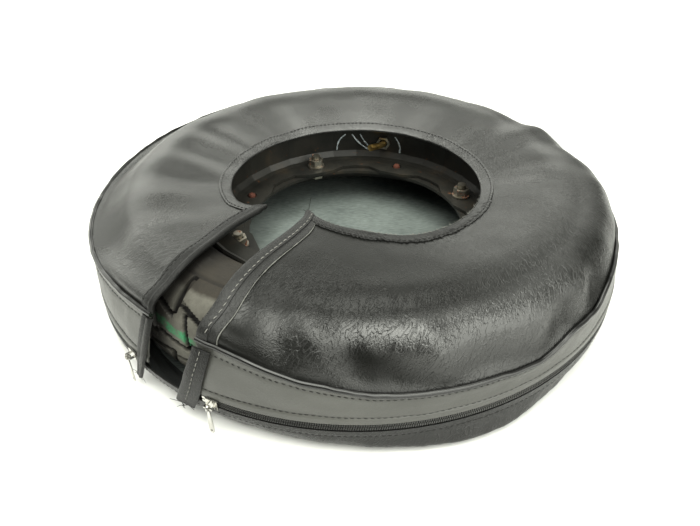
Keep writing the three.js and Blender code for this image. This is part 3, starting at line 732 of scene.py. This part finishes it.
def build_front():
    """Returns the panel's points, normals and the angles along the opening."""
    across, along, angle, radius, z = front_grid()
    shoulder = np.clip(bell(across, 0.70, 0.2) * (
        window(angle, -118, -108, -34, -8) + 0.75 * window(angle, 203, 212, 229, 231)), 0, 1)
    smooth_form = polar(radius, angle, z)
    lift = front_relief(across, along, angle, radius, shoulder)
    points = smooth_form + normals_of(smooth_form) * lift[..., None]
    crease = np.clip(0.06 + 1.0 * shoulder + 0.14 * window(angle, -118, -60, -20, 10), 0, 1.1)
    piece = sheet("front_cover", points, [M["vinyl"], M["inside"]],
                  attributes={"crease": crease, "gloss": front_gloss(angle, radius)})
    place(piece, replaces="front_panel")
    return points, normals_of(points), angle[0]


def build_piping():
    angle = np.linspace(-118.4, 230.6, 700)
    radius = blur(piping_r(angle), 30) + 0.25 * fbm(angle / 3.0, 0, 41, 2)
    z = blur(piping_z(angle), 30) + 0.35 * fbm(angle / 4.0, 3, 42, 2)
    rings = round_rings(polar(radius, angle, z), PIPING_R, polar(1.0, angle, 0.0),
                        np.array([[0, 0, 1.0]]), 14)
    place(make_tubes("piping_cord", [rings], M["cord"], sharp=60),
          replaces="edge_piping")


# ---------------------------------------------------------------- bands and back panel
def row_seam(points, normals, across, lift=0.0):
    """A seam along one grid row, lifted a little."""
    i = int(round(across * (len(points) - 1)))
    return points[i] + normals[i] * lift, normals[i]


def build_upper_band():
    """From under the piping (across = 0) down to the zip (1)."""
    hem_start, hem_height = 0.85, 4.2
    across, along = np.meshgrid(np.linspace(0, 1, 37), np.linspace(0, 1, 621), indexing="ij")
    right, left = -118.2 - 1.4 * across, 230.4 - 1.4 * across
    angle = right + (left - right) * along
    top_r, top_z = piping_r(angle) + 0.2, piping_z(angle) - PIPING_R + 0.7
    bottom_z = ZIP_Z + BAND_EDGE
    u = np.clip(across / hem_start, 0, 1)
    radius = blur(top_r + (BAND_R - top_r) * np.sin(u * np.pi / 2), 6)
    z = np.where(across > hem_start,
                 bottom_z + hem_height * (1 - (across - hem_start) / (1 - hem_start)),
                 top_z + (bottom_z + hem_height - top_z) * u)
    bulge = (0.5 * fbm(angle / 9, across * 2.2, 51, 2)
             + 0.18 * fbm(angle / 2.4, across * 3, 52, 2))
    hem = 0.75 * smooth(across, 0.80, 0.83) - 0.55 * bell(across, 0.815, 0.02)
    seam = -0.6 * bell(across, 0.13, 0.035) + 0.35 * (1 - smooth(across, 0.05, 0.13))
    radius = radius + bulge * window(across, 0, 0.2, 0.75, 0.95) + hem + seam
    points = polar(radius, angle, z)
    place(sheet("upper_band_skin", points, [M["band"], M["inside"]]),
          replaces="upper_band")
    normals = normals_of(points)
    stitches("stitches_under_piping", row_seam(points, normals, 0.13, -0.1), M["thread"],
             pitch=4.4, length=3.1, radius=0.33, lift=0.2, slant=0.25)
    stitches("stitches_upper_hem", row_seam(points, normals, 0.815), M["thread"],
             pitch=4.2, length=3.0, radius=0.33, lift=0.22)


# (place down the band, radius or height): 0 at the zip, 1 on the floor
lower_r = curve([[0, BAND_R], [0.2, BAND_R], [0.42, 221.2], [0.6, 217.2], [0.8, 209.5],
                 [1, 199.0]])
lower_z = curve([[0, ZIP_Z - BAND_EDGE], [0.2, ZIP_Z - BAND_EDGE - 5.2], [0.42, 11.8],
                 [0.6, 6.6], [0.8, 2.2], [1, 0.35]])


def build_lower_band():
    down, turn = np.meshgrid(np.linspace(0, 1, 41), np.arange(640) / 640, indexing="ij")
    angle = turn * 360 - 180
    radius, z = blur(lower_r(down), 30), blur(lower_z(down), 30)
    cos, sin = np.cos(angle * RAD), np.sin(angle * RAD)
    bulge = (0.9 * fbm(cos * 6 + 9, sin * 6 + down * 2 + 9, 61, 2)
             + 0.3 * fbm(cos * 22 + 40, sin * 22 + 40 + down * 3, 62, 2))
    loose = window(down, 0.18, 0.4, 0.75, 0.97)
    hem = 0.6 * (1 - smooth(down, 0.19, 0.215)) - 0.5 * bell(down, 0.2, 0.02)
    # tucked in at the near left, fuller on the near side
    tuck = window(angle, -178, -158, -140, -120)
    radius = radius - 8.5 * tuck * window(down, 0.2, 0.5, 0.72, 0.98)
    full = window(angle, -106, -62, -68, -38) * 1.35
    radius = radius + full * (6.2 * smooth(down, 0.2, 0.62) + 1.5 * smooth(down, 0.1, 0.4)) * (
        1 - smooth(down, 0.8, 1.0))
    z = z - full * 2.2 * bell(down, 0.55, 0.2)
    points = polar(radius, angle, z)
    points = points + normals_of(points, True) * (bulge * loose + hem - 0.35 * loose)[..., None]
    points[..., 2] = np.maximum(points[..., 2], 0.25)
    place(sheet("lower_band_skin", points, [M["lower"], M["inside"]], closed=True),
          "lower_shell", "lower_band")
    stitches("stitches_lower_hem", row_seam(points, normals_of(points, True), 0.2), M["thread"],
             "lower_shell", pitch=4.2, length=3.0, radius=0.33, lift=0.22)


def build_back_panel():
    """A disc of the same vinyl, seen from its brushed inside."""
    rings, spokes = 60, 220
    radius, angle = np.meshgrid(np.linspace(0, 1, rings) ** 0.9 * 200.2,
                                np.arange(spokes) / spokes * 360, indexing="ij")
    x, y = radius * np.cos(angle * RAD), radius * np.sin(angle * RAD)
    wave = 0.28 * fbm(x / 46 + 20, y / 46 + 20, 71, 3) * (1 - smooth(radius, 170, 198))
    top_z = 1.55 + np.maximum(wave, -0.3)
    verts = np.concatenate([np.stack([x, y, z], -1).reshape(-1, 3)
                            for z in (top_z, np.zeros_like(top_z))])
    count = rings * spokes
    # the innermost ring is one point: its quads give way to a fan, its spare copies go
    top = [tuple(f) for f in grid_faces(rings, spokes, True)[spokes:]]
    top += [(spokes + j, spokes + (j + 1) % spokes, 0) for j in range(spokes)]
    bottom = [tuple(i + count for i in f) for f in top]
    last = (rings - 1) * spokes
    side = []
    for j in range(spokes):
        a, b = last + j, last + (j + 1) % spokes
        side.append((b, a, count + a, count + b))
    used = np.ones(2 * count, bool)
    used[1:spokes] = False
    used[count + 1:count + spokes] = False
    remap = np.cumsum(used) - 1
    faces = [tuple(remap[i] for i in f) for f in [f[::-1] for f in top] + bottom + side]
    verts = verts[used]
    piece = make("back_panel_sheet", verts, faces, [M["lining"], M["lower"]],
                 [0] * len(top) + [1] * (len(bottom) + len(side)), verts[:, :2] * MM, sharp=50)
    face_outwards(piece)
    place(piece, "lower_shell", "back_panel")


# ---------------------------------------------------------------- zip
def build_tape(name, z0, z1, replaces, body=None):
    angle = np.linspace(RIGHT_END - 1.5, LEFT_END + 1.5, 640)
    corners = [(TAPE_R - 0.6, z0), (TAPE_R, z0), (TAPE_R, z1), (TAPE_R - 0.6, z1)]
    wave = 0.06 * fbm(angle, 0, 81, 2)
    rings = np.stack([polar(radius, angle, z + wave) for radius, z in corners], 1)
    place(make_tubes(name, [rings], M["tape"], sharp=30), body, replaces)


def build_teeth(name, side, replaces, body=None):
    """Moulded teeth, each a rounded block across the chain; side is 1 above, -1 below."""
    pitch = 1.55 / CHAIN_R / RAD
    angle = np.arange(RIGHT_END + 1.0, LEFT_END - 1.0, pitch)
    if side < 0:
        angle = angle + pitch / 2
    # radius, distance from the middle of the zip, half width before scaling
    radius, away, half_width = np.array([
        (TOOTH_R0, 0.35, 0.46), (TOOTH_R0 + 1.4, 0.2, 0.5), (TOOTH_R1 - 0.45, 0.4, 0.46),
        (TOOTH_R1, 1.0, 0.42), (TOOTH_R1 - 0.1, 2.1, 0.42), (TOOTH_R1 - 0.7, 2.65, 0.44),
        (TOOTH_R0, 2.7, 0.46)]).T
    half_width = half_width * 0.92
    lean = 0.3 * (away - 1.6) * side
    tubes = [polar(radius, angle[:, None] + (end * half_width + lean) / CHAIN_R / RAD,
                   ZIP_Z + side * away) for end in (-1, 1)]
    place(make_tubes(name, np.stack(tubes, 1), M["teeth"], sharp=35), body,
          replaces)


def build_zip():
    build_tape("zip_tape_top", ZIP_Z + 0.35, ZIP_Z + 9.6, "zip_tape_upper")
    build_tape("zip_tape_bottom", ZIP_Z - 9.6, ZIP_Z - 0.35, "zip_tape_lower", "lower_shell")
    build_teeth("zip_coil_top", 1, "zip_teeth_upper")
    build_teeth("zip_coil_bottom", -1, "zip_teeth_lower", "lower_shell")


# ---------------------------------------------------------------- folded edges
# Sections go round the strip as (distance in from the edge, height off the panel).
OPENING_SECTION = [
    (6.5, -2.0), (1.0, -2.0), (-0.3, -1.5), (-0.8, -0.6), (-0.75, 0.2), (-0.3, 0.85),
    (0.6, 1.15), (2.2, 1.2), (5, 1.15), (8.2, 1.1), (10.2, 1.1), (10.9, 0.85), (11.0, 0.1),
    (8.0, 0.05), (3.0, 0.05), (0.2, 0.0), (0.2, -1.25), (3, -1.3), (6.5, -1.3)]
RIGHT_SECTION = [
    (5, -2.1), (0.5, -2.1), (-0.6, -1.5), (-1.0, -0.4), (-0.9, 0.9), (-0.3, 1.8), (0.8, 2.2),
    (3.0, 2.15), (5.2, 1.9), (6.4, 1.75), (7.6, 1.9), (8.3, 1.7), (8.5, 1.05), (9.2, 0.95),
    (12.0, 1.05), (14.2, 1.0), (14.9, 0.75), (15.0, 0.1), (8.0, 0.05), (0.2, 0.0),
    (0.2, -1.3), (5, -1.3)]
LEFT_SECTION = [
    (5, -2.2), (0.6, -2.3), (-0.7, -1.8), (-1.5, -0.6), (-1.3, 0.9), (-0.4, 2.0), (1.0, 2.4),
    (2.2, 2.1), (3.0, 1.45), (3.8, 1.35), (5.5, 1.5), (7.8, 1.45), (8.8, 1.0), (9.4, 0.85),
    (10.2, 1.0), (11.2, 0.6), (11.8, 0.05), (5, 0.05), (0.2, 0.0), (0.2, -1.3), (5, -1.3)]


def edge_strip(points, normals, section, wobble=None):
    """Rings of a strip on an edge; points[k, q] runs inwards (k) at every place q along it."""
    depth = arc(points)
    rings = np.zeros((points.shape[1], len(section), 3))
    for q in range(points.shape[1]):
        outwards = unit(points[0, q] - points[2, q])
        for c, (inset, height) in enumerate(section):
            if wobble:
                inset, height = wobble(q, inset, height)
            if inset >= 0:
                base = resample(inset, depth[:, q], points[:, q])
                normal = resample(inset, depth[:, q], normals[:, q])
            else:
                base, normal = points[0, q] + outwards * -inset, normals[0, q]
            rings[q, c] = base + normal * height
    return rings


def edge_seam(points, normals, inset, height):
    """Path and normals at a steady distance in from an edge."""
    depth = arc(points)
    path, up = (np.array([resample(inset, depth[:, q], grid[:, q])
                          for q in range(points.shape[1])]) for grid in (points, normals))
    return path + up * height, up


def build_opening(points, normals, angle):
    """The hem round the opening. Its near part is frayed; returns how much at each angle."""
    fray = window(angle, -112, -92, -32, -8)
    ragged = fbm(angle * 1.4, 0, 91, 3)
    fine_ragged = fbm(angle * 3.1, 7, 92, 3)

    def wobble(q, inset, height):
        if inset <= 8:
            return inset, height
        inset = inset + fray[q] * (0.9 * ragged[q] + 0.5 * fine_ragged[q]) + 0.15 * ragged[q]
        return inset, height * (1 + 0.25 * fray[q] * fine_ragged[q])

    rings = edge_strip(points, normals, OPENING_SECTION, wobble)
    piece = make_tubes("opening_hem", [rings], M["hem"], sharp=50)
    gloss = 0.42 + 1.1 * smooth(angle, -62, 5) * (1 - 0.42 * smooth(angle, 165, 200))
    add_attribute(piece, "gloss", np.repeat(gloss, len(OPENING_SECTION)))
    place(piece, replaces="opening_binding")
    stitches("stitches_opening", edge_seam(points, normals, 9.0, 1.1), M["thread"],
             pitch=4.0, length=2.9, radius=0.3, lift=0.16)
    return fray


def build_slit_right(points, normals):
    """Two lanes, the outer one folded over, with a pale raw edge behind them."""
    def wobble(q, inset, height):
        if inset > 12:
            inset = inset + 0.5 * fbm(q * 0.35, 0.0, 101, 3)
        elif inset < 0:
            inset = inset - 0.3 * fbm(q * 0.12, 0.5, 102, 2)
        return inset, height

    rings = edge_strip(points, normals, RIGHT_SECTION, wobble)
    place(make_tubes("slit_edge_right", [rings], M["binding"], sharp=50),
          "front_shell", "slit_binding_right")
    stitches("stitches_slit_right", edge_seam(points, normals, 6.4, 1.75), M["thread_light"],
             "front_shell", pitch=5.2, length=3.4, radius=0.3, lift=0.2, slant=0.3)
    path, _ = edge_seam(points, normals, 15.3, 0.55)
    radius = np.clip(0.28 + 0.12 * fbm(np.arange(len(path)) * 0.35, 0, 103, 2), 0.12, 0.5)
    raw = make_tubes("slit_raw_edge", [tube(path, radius, 8, (0.2, 0.1, 1))], M["frayed"],
                     sharp=60)
    place(raw, "front_shell")


def build_slit_left(points, normals):
    """A rolled hem with a stitched groove behind it."""
    rings = edge_strip(points, normals, LEFT_SECTION)
    # the roll runs on past the opening's edge as a short rounded tongue
    onwards = rings[0] - rings[3]
    onwards = (onwards / np.linalg.norm(onwards, axis=1, keepdims=True).mean()).mean(0)
    centre = rings[0][:12].mean(0)
    tongue = [centre + (rings[0] - centre) * scale + onwards * reach
              for reach, scale in [(5.2, 0.35), (4.2, 0.75), (2.2, 0.95)]]
    rings = np.concatenate([np.array(tongue), rings])
    place(make_tubes("slit_edge_left", [rings], M["binding_dark"], sharp=50),
          "front_shell", "slit_binding_left")
    stitches("stitches_slit_left", edge_seam(points, normals, 9.3, 0.85), M["thread"],
             "front_shell", pitch=4.2, length=3.0, radius=0.3, lift=0.2)


# Hanging ends below the piping: height, angle of the slit side, angle of the other side, radius
RIGHT_TAIL = [
    [70.5, -118.7, -114.9, 218.6], [66, -118.9, -115.1, 220.2], [56, -119.8, -115.8, 222.4],
    [46, -120.8, -116.5, 223.7], [33, -122.0, -117.5, 224.3], [25, -123.0, -118.3, 224.4],
    [14, -124.2, -119.7, 224.0]]
LEFT_TAIL = [
    [72, 231.1, 228.3, 216.8], [66, 231.0, 228.2, 219.4], [56, 230.5, 227.7, 221.9],
    [46, 229.8, 227.1, 223.6], [34, 228.6, 226.2, 224.7], [25, 227.7, 225.6, 225.0],
    [15, 226.7, 224.9, 225.6], [10, 226.1, 224.4, 225.8]]


def build_tail(name, stations, replaces, lane, folded):
    """A hanging end, its fold as wide as lane; returns the seam beside the fold."""
    rising = np.array(stations, float)[::-1]
    z = np.linspace(rising[0, 0], rising[-1, 0], 60)[::-1]
    start, end, radius = (blur(np.interp(z, rising[:, 0], rising[:, c]), 20) for c in (1, 2, 3))
    # part of the width, height off the band
    section = [(-0.02, -0.3), (0.02, 0.7), (0.1, 1.35 * folded), (0.3, 1.45 * folded),
               (lane - 0.05, 1.15 * folded), (lane, 0.85), (lane + 0.06, 1.0), (0.9, 1.0),
               (0.99, 0.8), (1.0, 0.15), (0.6, 0.0), (0.1, -0.2)]
    rings = []
    for i in range(60):
        sway = 0.35 * fbm(i * 0.22, 0.0, 111, 2)
        ragged = 0.5 * sway if i > 56 else 0
        rings.append([polar(radius[i] + height, start[i] + (end[i] - start[i]) * q + sway * 0.08,
                            z[i] + ragged * q) for q, height in section])
    place(make_tubes(name, [rings], M["binding_dark"], sharp=50), "front_shell",
          replaces)
    angle = start + (end - start) * (lane - 0.04)
    return polar(radius + 1.1, angle, z), polar(1, angle, 0)


def build_tails():
    seam = build_tail("slit_end_right", RIGHT_TAIL, "slit_tail_right", lane=0.52, folded=1.0)
    stitches("stitches_end_right", seam, M["thread_light"], "front_shell",
             pitch=5.0, length=3.2, radius=0.28, lift=0.15)
    build_tail("slit_end_left", LEFT_TAIL, "slit_tail_left", lane=0.55, folded=1.25)


# ---------------------------------------------------------------- loose thread ends
def build_thread_ends(corner, slit_points, slit_normals):
    """At the slit's top right corner, at the foot of both hanging ends and down the slit."""
    strands = [(corner + [1, 0, 0], (0.15, 0.1, 1.0), (0.1, 0.0, 0.2), 9, 0.22),
               (corner + [2, -1, 0], (0.55, -0.1, 0.5), (0.2, 0, -0.3), 5, 0.2),
               (corner + [-1, -2, 0], (-0.4, 0.3, 0.5), (-0.2, 0, -0.2), 4, 0.18)]
    # sideways, upwards, length
    foot, sideways = polar(225.0, -122.0, 14.5), polar(1.0, -122.0 + 90, 0.0)
    right = [(-1.0, -0.15, 15), (-0.9, -0.45, 13), (-0.6, -0.35, 10), (0.35, -0.5, 8),
             (0.8, -0.15, 6), (-0.2, -0.6, 7)]
    for k, (out, rise, length) in enumerate(right):
        strands.append((foot + sideways * RNG.uniform(-4, 5), sideways * out + [0, 0, rise],
                        (0, -0.1, -0.12 * (k % 2)), length, 0.22))
    threads("thread_ends_right", strands, M["thread"])

    foot, sideways = polar(226.0, 225.3, 11.0), polar(1.0, 225.3 + 90, 0.0)
    left = [(-1.0, 0.1, 9), (-0.8, -0.3, 8), (0.9, -0.2, 7), (0.3, -0.6, 5), (0.8, 0.25, 6)]
    strands = [(foot + sideways * RNG.uniform(-2, 2), sideways * out + [0, 0, rise],
                (0, -0.1, -0.15), length, 0.2) for out, rise, length in left]
    threads("thread_ends_left", strands, M["thread"])

    strands = []
    for i in range(6, FRONT_ROWS - 4, 7):
        normal = slit_normals[0, i]
        outwards = unit(slit_points[0, i] - slit_points[3, i])
        direction = outwards * RNG.uniform(0.6, 1.0) + normal * RNG.uniform(-0.3, 0.5)
        bend = np.array([0.0, 0.0, -0.5]) + RNG.uniform(-0.3, 0.3, 3)
        strands.append((slit_points[0, i] + normal * -1.2, direction, bend,
                        RNG.uniform(2.5, 5.5), 0.17))
    threads("thread_ends_slit", strands, M["thread"])


def build_frayed_fibres(points, normals, angle, fray):
    """Short pale fibres of the backing on the near edge of the opening."""
    strands = []
    for i in range(len(angle)):
        if fray[i] < 0.05:
            continue
        for _ in range(2):
            if RNG.uniform() > fray[i] * 0.8:
                continue
            RNG.uniform(-0.5, 0.5)  # an idle draw that the sequence depends on
            normal = normals[0, i]
            outwards = unit(points[0, i] - points[2, i])
            sideways = polar(1.0, angle[i] + 90, 0.0)
            root = points[0, i] + outwards * 0.55 + normal * RNG.uniform(-0.6, 0.9)
            direction = (outwards * RNG.uniform(0.3, 1.0) + sideways * RNG.uniform(-0.8, 0.8)
                         + normal * RNG.uniform(-0.5, 0.5))
            bend = (0, 0, RNG.uniform(-0.6, 0.1))
            strands.append((root, direction, bend, RNG.uniform(0.8, 2.4),
                            RNG.uniform(0.12, 0.24)))
    threads("frayed_fibres", strands, M["frayed"])


# ---------------------------------------------------------------- wheel
# (radius, distance from the tyre's middle plane), one half of each outline
TYRE_OUTSIDE = np.array([
    (211.6, 0), (211, 8), (209, 16), (205.2, 24.3), (199.6, 31), (192.5, 36.4), (184.5, 40.2),
    (176, 42.8), (167, 43.9), (158, 43.0), (150, 39.4), (145.2, 34.0), (142.6, 29.5),
    (141.6, 26.2)])
TYRE_INSIDE = np.array([
    (127.2, 26.2), (127.2, 17), (134, 19.5), (144, 29.5), (157, 37.4), (170, 39.5),
    (184, 37.6), (196, 27), (203, 11)])
MIRROR = [1, -1]


def groove(distance, half_width):
    return 1 - smooth(np.abs(distance), half_width - 0.4, half_width + 0.4)


def tread(angle, q):
    """Groove depth, 0 to 1, at q mm round the section from the middle of the tread.

    There are two rows of slanted blocks on each side, the rows stepped against each other.
    """
    blocks, pitch = 40, 33.0
    u = angle / 360 * blocks + np.where(q > 0, 0.0, 0.5)
    out = np.abs(q)
    outer_phase, inner_phase = (u + 0.12) % 1.0, (u + 0.52) % 1.0
    outer_cut = groove(np.minimum(outer_phase, 1 - outer_phase) * pitch,
                       2.1 + 0.03 * (out - 30)) * window(out, 26, 27.5, 55, 57)
    outer_ring = groove(out - (35.5 - 11.5 * outer_phase), 2.0) * (1 - smooth(out, 50, 52))
    slant = (u + 0.52 + 0.010 * out) % 1.0
    inner_cut = groove(np.minimum(slant, 1 - slant) * pitch, 1.9) * window(out, 3, 4.5, 28, 30)
    inner_ring = groove(out - (9.0 - 5.0 * inner_phase), 1.7)
    shoulder = groove(out - 57.5, 1.2) * 0.35
    cuts = [outer_cut, outer_ring, inner_cut, inner_ring, shoulder]
    return np.clip(np.maximum.reduce(cuts), 0, 1)


def build_tyre():
    turns, around = 1500, 204
    outline = np.concatenate([TYRE_OUTSIDE[:0:-1] * MIRROR, TYRE_OUTSIDE])
    travelled = arc(outline)
    at = np.linspace(0, travelled[-1], around)
    radius, width = (blur(np.interp(at, travelled, outline[:, c]), 10) for c in (0, 1))
    turn = np.arange(turns) / turns * 360
    angle, q = np.meshgrid(turn, at - travelled[-1] / 2, indexing="ij")
    grooves = tread(angle, q)
    out = np.abs(q)
    depth = grooves * 5.2 * (1 - smooth(out, 48, 57) * 0.55)
    # ribs on the wall: place, height, half width at the top and at the foot
    ribs = sum(height * (1 - smooth(np.abs(out - place_), top, foot))
               for place_, height, top, foot in
               [(74, 0.5, 0.6, 1.4), (86, 0.4, 0.5, 1.2), (64, 0.5, 0.5, 1.2)])
    d_radius, d_width = np.gradient(radius), np.gradient(width)
    step = np.hypot(d_radius, d_width)
    outside = (polar(radius, angle, TYRE_MID + width)
               + polar(d_width / step, angle, -d_radius / step) * (ribs - depth)[..., None])
    inner = np.concatenate([TYRE_INSIDE, TYRE_INSIDE[::-1] * MIRROR])
    inside = polar(inner[:, 0], turn[:, None], TYRE_MID + inner[:, 1])
    rings = np.concatenate([outside, inside], 1)
    tyre = make_tubes("tyre_tread", [rings], M["tyre"], sharp=50, closed=True)
    groove_map = np.zeros(rings.shape[:2])
    groove_map[:, :around] = grooves
    add_attribute(tyre, "groove", groove_map)
    place(tyre, "wheel", "tyre")


def build_paint_strokes():
    """Four white strokes on the far side of the rim's barrel, as (angle, height)."""
    strokes = [
        [(99.3, 50.2), (99.1, 56), (97.9, 62.5), (95.0, 67.7)],
        [(91.9, 67.5), (90.2, 61.5), (87.6, 55.5), (83.9, 50.4)],
        [(88.1, 67.5), (86.4, 61), (84.2, 55.3)],
        [(71.2, 67.2), (69.3, 62), (68.5, 56.9), (68.6, 50.4)]]
    tubes = []
    for stroke in strokes:
        q = np.linspace(0, len(stroke) - 1, 22)
        angle, z = (blur(np.interp(q, np.arange(len(stroke)), column), 6)
                    for column in zip(*stroke))
        tubes.append(tube(polar(123.72, angle, z), 0.8 + 0.14 * fbm(q * 1.3, 0, 121, 2), 8,
                          (0, 1, 0.2)))
    place(make_tubes("paint_strokes", tubes, M["mark"]), "wheel")


def build_pins():
    """Four rough pins between the nuts."""
    # radius and height up the pin
    radius, z = np.array([(0.5, 37.0), (3.2, 37.0), (3.3, 41.0), (3.2, 43.6), (2.8, 44.7),
                          (1.8, 45.2), (0.5, 45.3)]).T[:, :, None]
    angle = np.arange(12) / 12 * 360
    tubes = []
    for k in range(4):
        rough = radius + 0.25 * RNG.uniform(-1, 1, (len(radius), 12)) * (radius > 1)
        tubes.append(polar(rough, angle, z) + polar(107.5, BOLT_PHASE + 45 + 90 * k, 0.0))
    place(make_tubes("rusty_pins", tubes, M["rust"], sharp=50), "wheel")


def finish_frame_pieces():
    """Pieces kept as the frame made them get a material, smooth shading and soft edges."""
    plain = [("inner_tube", "tube", "tube_rubber"), ("rim_outer_half", "rim", "rim_paint"),
             ("rim_inner_half", "rim", "rim_paint")]
    bevelled = [("valve_stem", "brass", "valve_brass"), ("valve_nut", "zinc", "zinc_hardware")]
    bevelled += [(f"rim_{kind}_{i}", "zinc", "zinc_hardware")
                 for kind in ("bolt", "washer", "nut") for i in (1, 2, 3, 4)]
    bevelled += [(f"zip_{part}", "chrome", "zip_metal") for part in (
        "slider_right", "slider_left", "pull_right", "pull_left", "stop_right_upper",
        "stop_right_lower", "stop_left_upper", "stop_left_lower")]
    for entry in plain + bevelled:
        node, mat, slot = entry
        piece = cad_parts[node]
        mesh = piece.data
        mesh.materials.clear()
        mesh.materials.append(M[mat])
        mesh.polygons.foreach_set("use_smooth", np.ones(len(mesh.polygons), bool))
        mesh.set_sharp_from_angle(angle=35 * RAD)
        if entry in bevelled:
            bevel = piece.modifiers.new("edge", "BEVEL")
            bevel.width = 0.00012 if node.startswith("zip") else 0.0004
            bevel.segments = 2
            bevel.limit_method = "ANGLE"
            bevel.angle_limit = 40 * RAD


# ---------------------------------------------------------------- stage, light, camera
def build_floor():
    """A floor painted lighter around the wheel than far away: a painted pool of light that falls
    off with distance.
    """
    m = Material("floor_paper")
    x, y, _ = m.split(m.coords())
    far = m.math("SQRT", m.math("ADD", m.math("MULTIPLY", x, x), m.math("MULTIPLY", y, y)))
    m.set(color=m.ramp(m.remap(far, (0.4, 1.2), to=(1.0, 0.0)),
                       [(0.0, (0.42, 0.42, 0.415)), (1.0, (0.68, 0.68, 0.675))]),
          rough=0.9, spec=0.1)
    mesh = bpy.data.meshes.new("floor")
    half = 60
    mesh.from_pydata([(-half, -half, 0), (half, -half, 0), (half, half, 0), (-half, half, 0)],
                     [], [(0, 1, 2, 3)])
    mesh.materials.append(m.mat)
    floor = bpy.data.objects.new("floor", mesh)
    bpy.context.scene.collection.objects.link(floor)
    floor.location.z = -0.0004


# azimuth (0 behind the object, 90 to its right), half width, lowest and highest elevation,
# softness sideways, softness up and down, brightness
SOFTBOXES = [
    (0, 180, 80, 90, 1, 7, 9.0), (-6, 56, 58, 80, 12, 6, 5.2), (-100, 36, 44, 78, 15, 9, 3.0),
    (180, 70, 52, 80, 20, 8, 6.4), (134, 34, -8, 60, 12, 8, 4.2), (-46, 28, 8, 38, 9, 8, 1.5),
    (30, 22, 14, 40, 9, 7, 1.3), (-24, 44, 8, 26, 15, 5, 2.0), (196, 40, -89, 52, 12, 8, -0.4)]
AMBIENT, DARKEST, BACKDROP = 0.5, 0.12, 1.12   # backdrop: what the camera sees directly


def build_world():
    """Soft-edged patches of light on the sky."""
    world = bpy.data.worlds.new("studio")
    bpy.context.scene.world = world
    world.use_nodes = True
    w = Nodes(world.node_tree)
    x, y, z = w.split(w.add("ShaderNodeTexCoord").outputs["Generated"])
    squares = w.math("ADD", w.math("MULTIPLY", x, x), w.math("MULTIPLY", y, y))
    flat = w.math("MAXIMUM", w.math("SQRT", squares, 0.0), 1e-4)

    def step(value, low, high):
        return w.remap(value, (low, high), interpolation_type="SMOOTHSTEP")

    def softbox(azimuth, half, low, high, soft_side, soft_up, brightness):
        towards = w.math("ADD", w.math("MULTIPLY", x, math.sin(azimuth * RAD)),
                         w.math("MULTIPLY", y, math.cos(azimuth * RAD)))
        patch = step(w.math("DIVIDE", towards, flat),
                     math.cos(min(180, half + soft_side) * RAD),
                     math.cos(max(0, half - soft_side) * RAD))
        patch = w.math("MULTIPLY", patch, step(z, math.sin((low - soft_up) * RAD),
                                               math.sin((low + soft_up) * RAD)))
        if high < 88:
            above = step(z, math.sin((high - soft_up) * RAD),
                         math.sin(min(90, high + soft_up) * RAD))
            patch = w.math("MULTIPLY", patch, w.math("SUBTRACT", 1.0, above))
        return w.math("MULTIPLY", patch, brightness)

    level = AMBIENT
    for box in SOFTBOXES:
        level = w.math("ADD", softbox(*box), level)
    level = w.math("MAXIMUM", level, DARKEST)
    seen = w.add("ShaderNodeLightPath").outputs["Is Camera Ray"]
    level = w.math("ADD", w.math("MULTIPLY", level, w.math("SUBTRACT", 1.0, seen)),
                   w.math("MULTIPLY", seen, BACKDROP))
    background = world.node_tree.nodes["Background"]
    w.feed(background.inputs["Strength"], level)
    background.inputs["Color"].default_value = (0.985, 1.0, 0.915, 1)


CAMERA_ELEVATION = 36.2 * RAD
CAMERA_DISTANCE = 612.0
CAMERA_TURN, CAMERA_TILT = 0.009230507067, -0.008461336529   # radians off the origin
CAMERA_LENS = 33.4285714286


def rotate(vector, axis, angle):
    return (vector * math.cos(angle) + np.cross(axis, vector) * math.sin(angle)
            + axis * np.dot(axis, vector) * (1 - math.cos(angle)))


def build_camera():
    """On the near side, looking down almost at the origin."""
    position = CAMERA_DISTANCE * np.array([0, -math.cos(CAMERA_ELEVATION),
                                           math.sin(CAMERA_ELEVATION)])
    forward = -position / np.linalg.norm(position)
    right = np.array([1.0, 0, 0])
    up = np.cross(right, forward)
    forward, right = rotate(forward, up, CAMERA_TURN), rotate(right, up, CAMERA_TURN)
    forward, up = rotate(forward, right, CAMERA_TILT), rotate(up, right, CAMERA_TILT)
    lens = bpy.data.cameras.new("camera")
    lens.sensor_width = 36
    lens.sensor_fit = "HORIZONTAL"
    lens.lens = CAMERA_LENS
    lens.clip_start = 0.01
    camera = bpy.data.objects.new("camera", lens)
    bpy.context.scene.collection.objects.link(camera)
    columns = np.stack([right, up, -forward, position * MM], 1)
    camera.matrix_world = Matrix(columns.tolist() + [[0, 0, 0, 1]])
    bpy.context.scene.camera = camera
    bpy.context.scene.view_settings.view_transform = "Standard"


# ---------------------------------------------------------------- build
# The order matters: the pieces share one run of random numbers.
front_points, front_normals, opening_angle = build_front()
build_piping()
build_upper_band()
build_lower_band()
build_back_panel()
build_zip()

# each edge of the front as a grid whose first row is the edge
hem_columns = slice(12, FRONT_COLUMNS - 4)
opening = front_points[:30, hem_columns], front_normals[:30, hem_columns]
right_edge = [grid[:, :26].swapaxes(0, 1) for grid in (front_points, front_normals)]
left_edge = [grid[:, ::-1][:, :26].swapaxes(0, 1) for grid in (front_points, front_normals)]
opening_angle = opening_angle[hem_columns]
fray_amount = build_opening(*opening, opening_angle)
build_slit_right(*right_edge)
build_slit_left(*left_edge)
build_tails()
build_thread_ends(front_points[0, 0] + front_normals[0, 0] * 1.2, *right_edge)
build_frayed_fibres(*opening, opening_angle, fray_amount)

build_tyre()
build_paint_strokes()
build_pins()
finish_frame_pieces()
build_floor()
build_world()
build_camera()
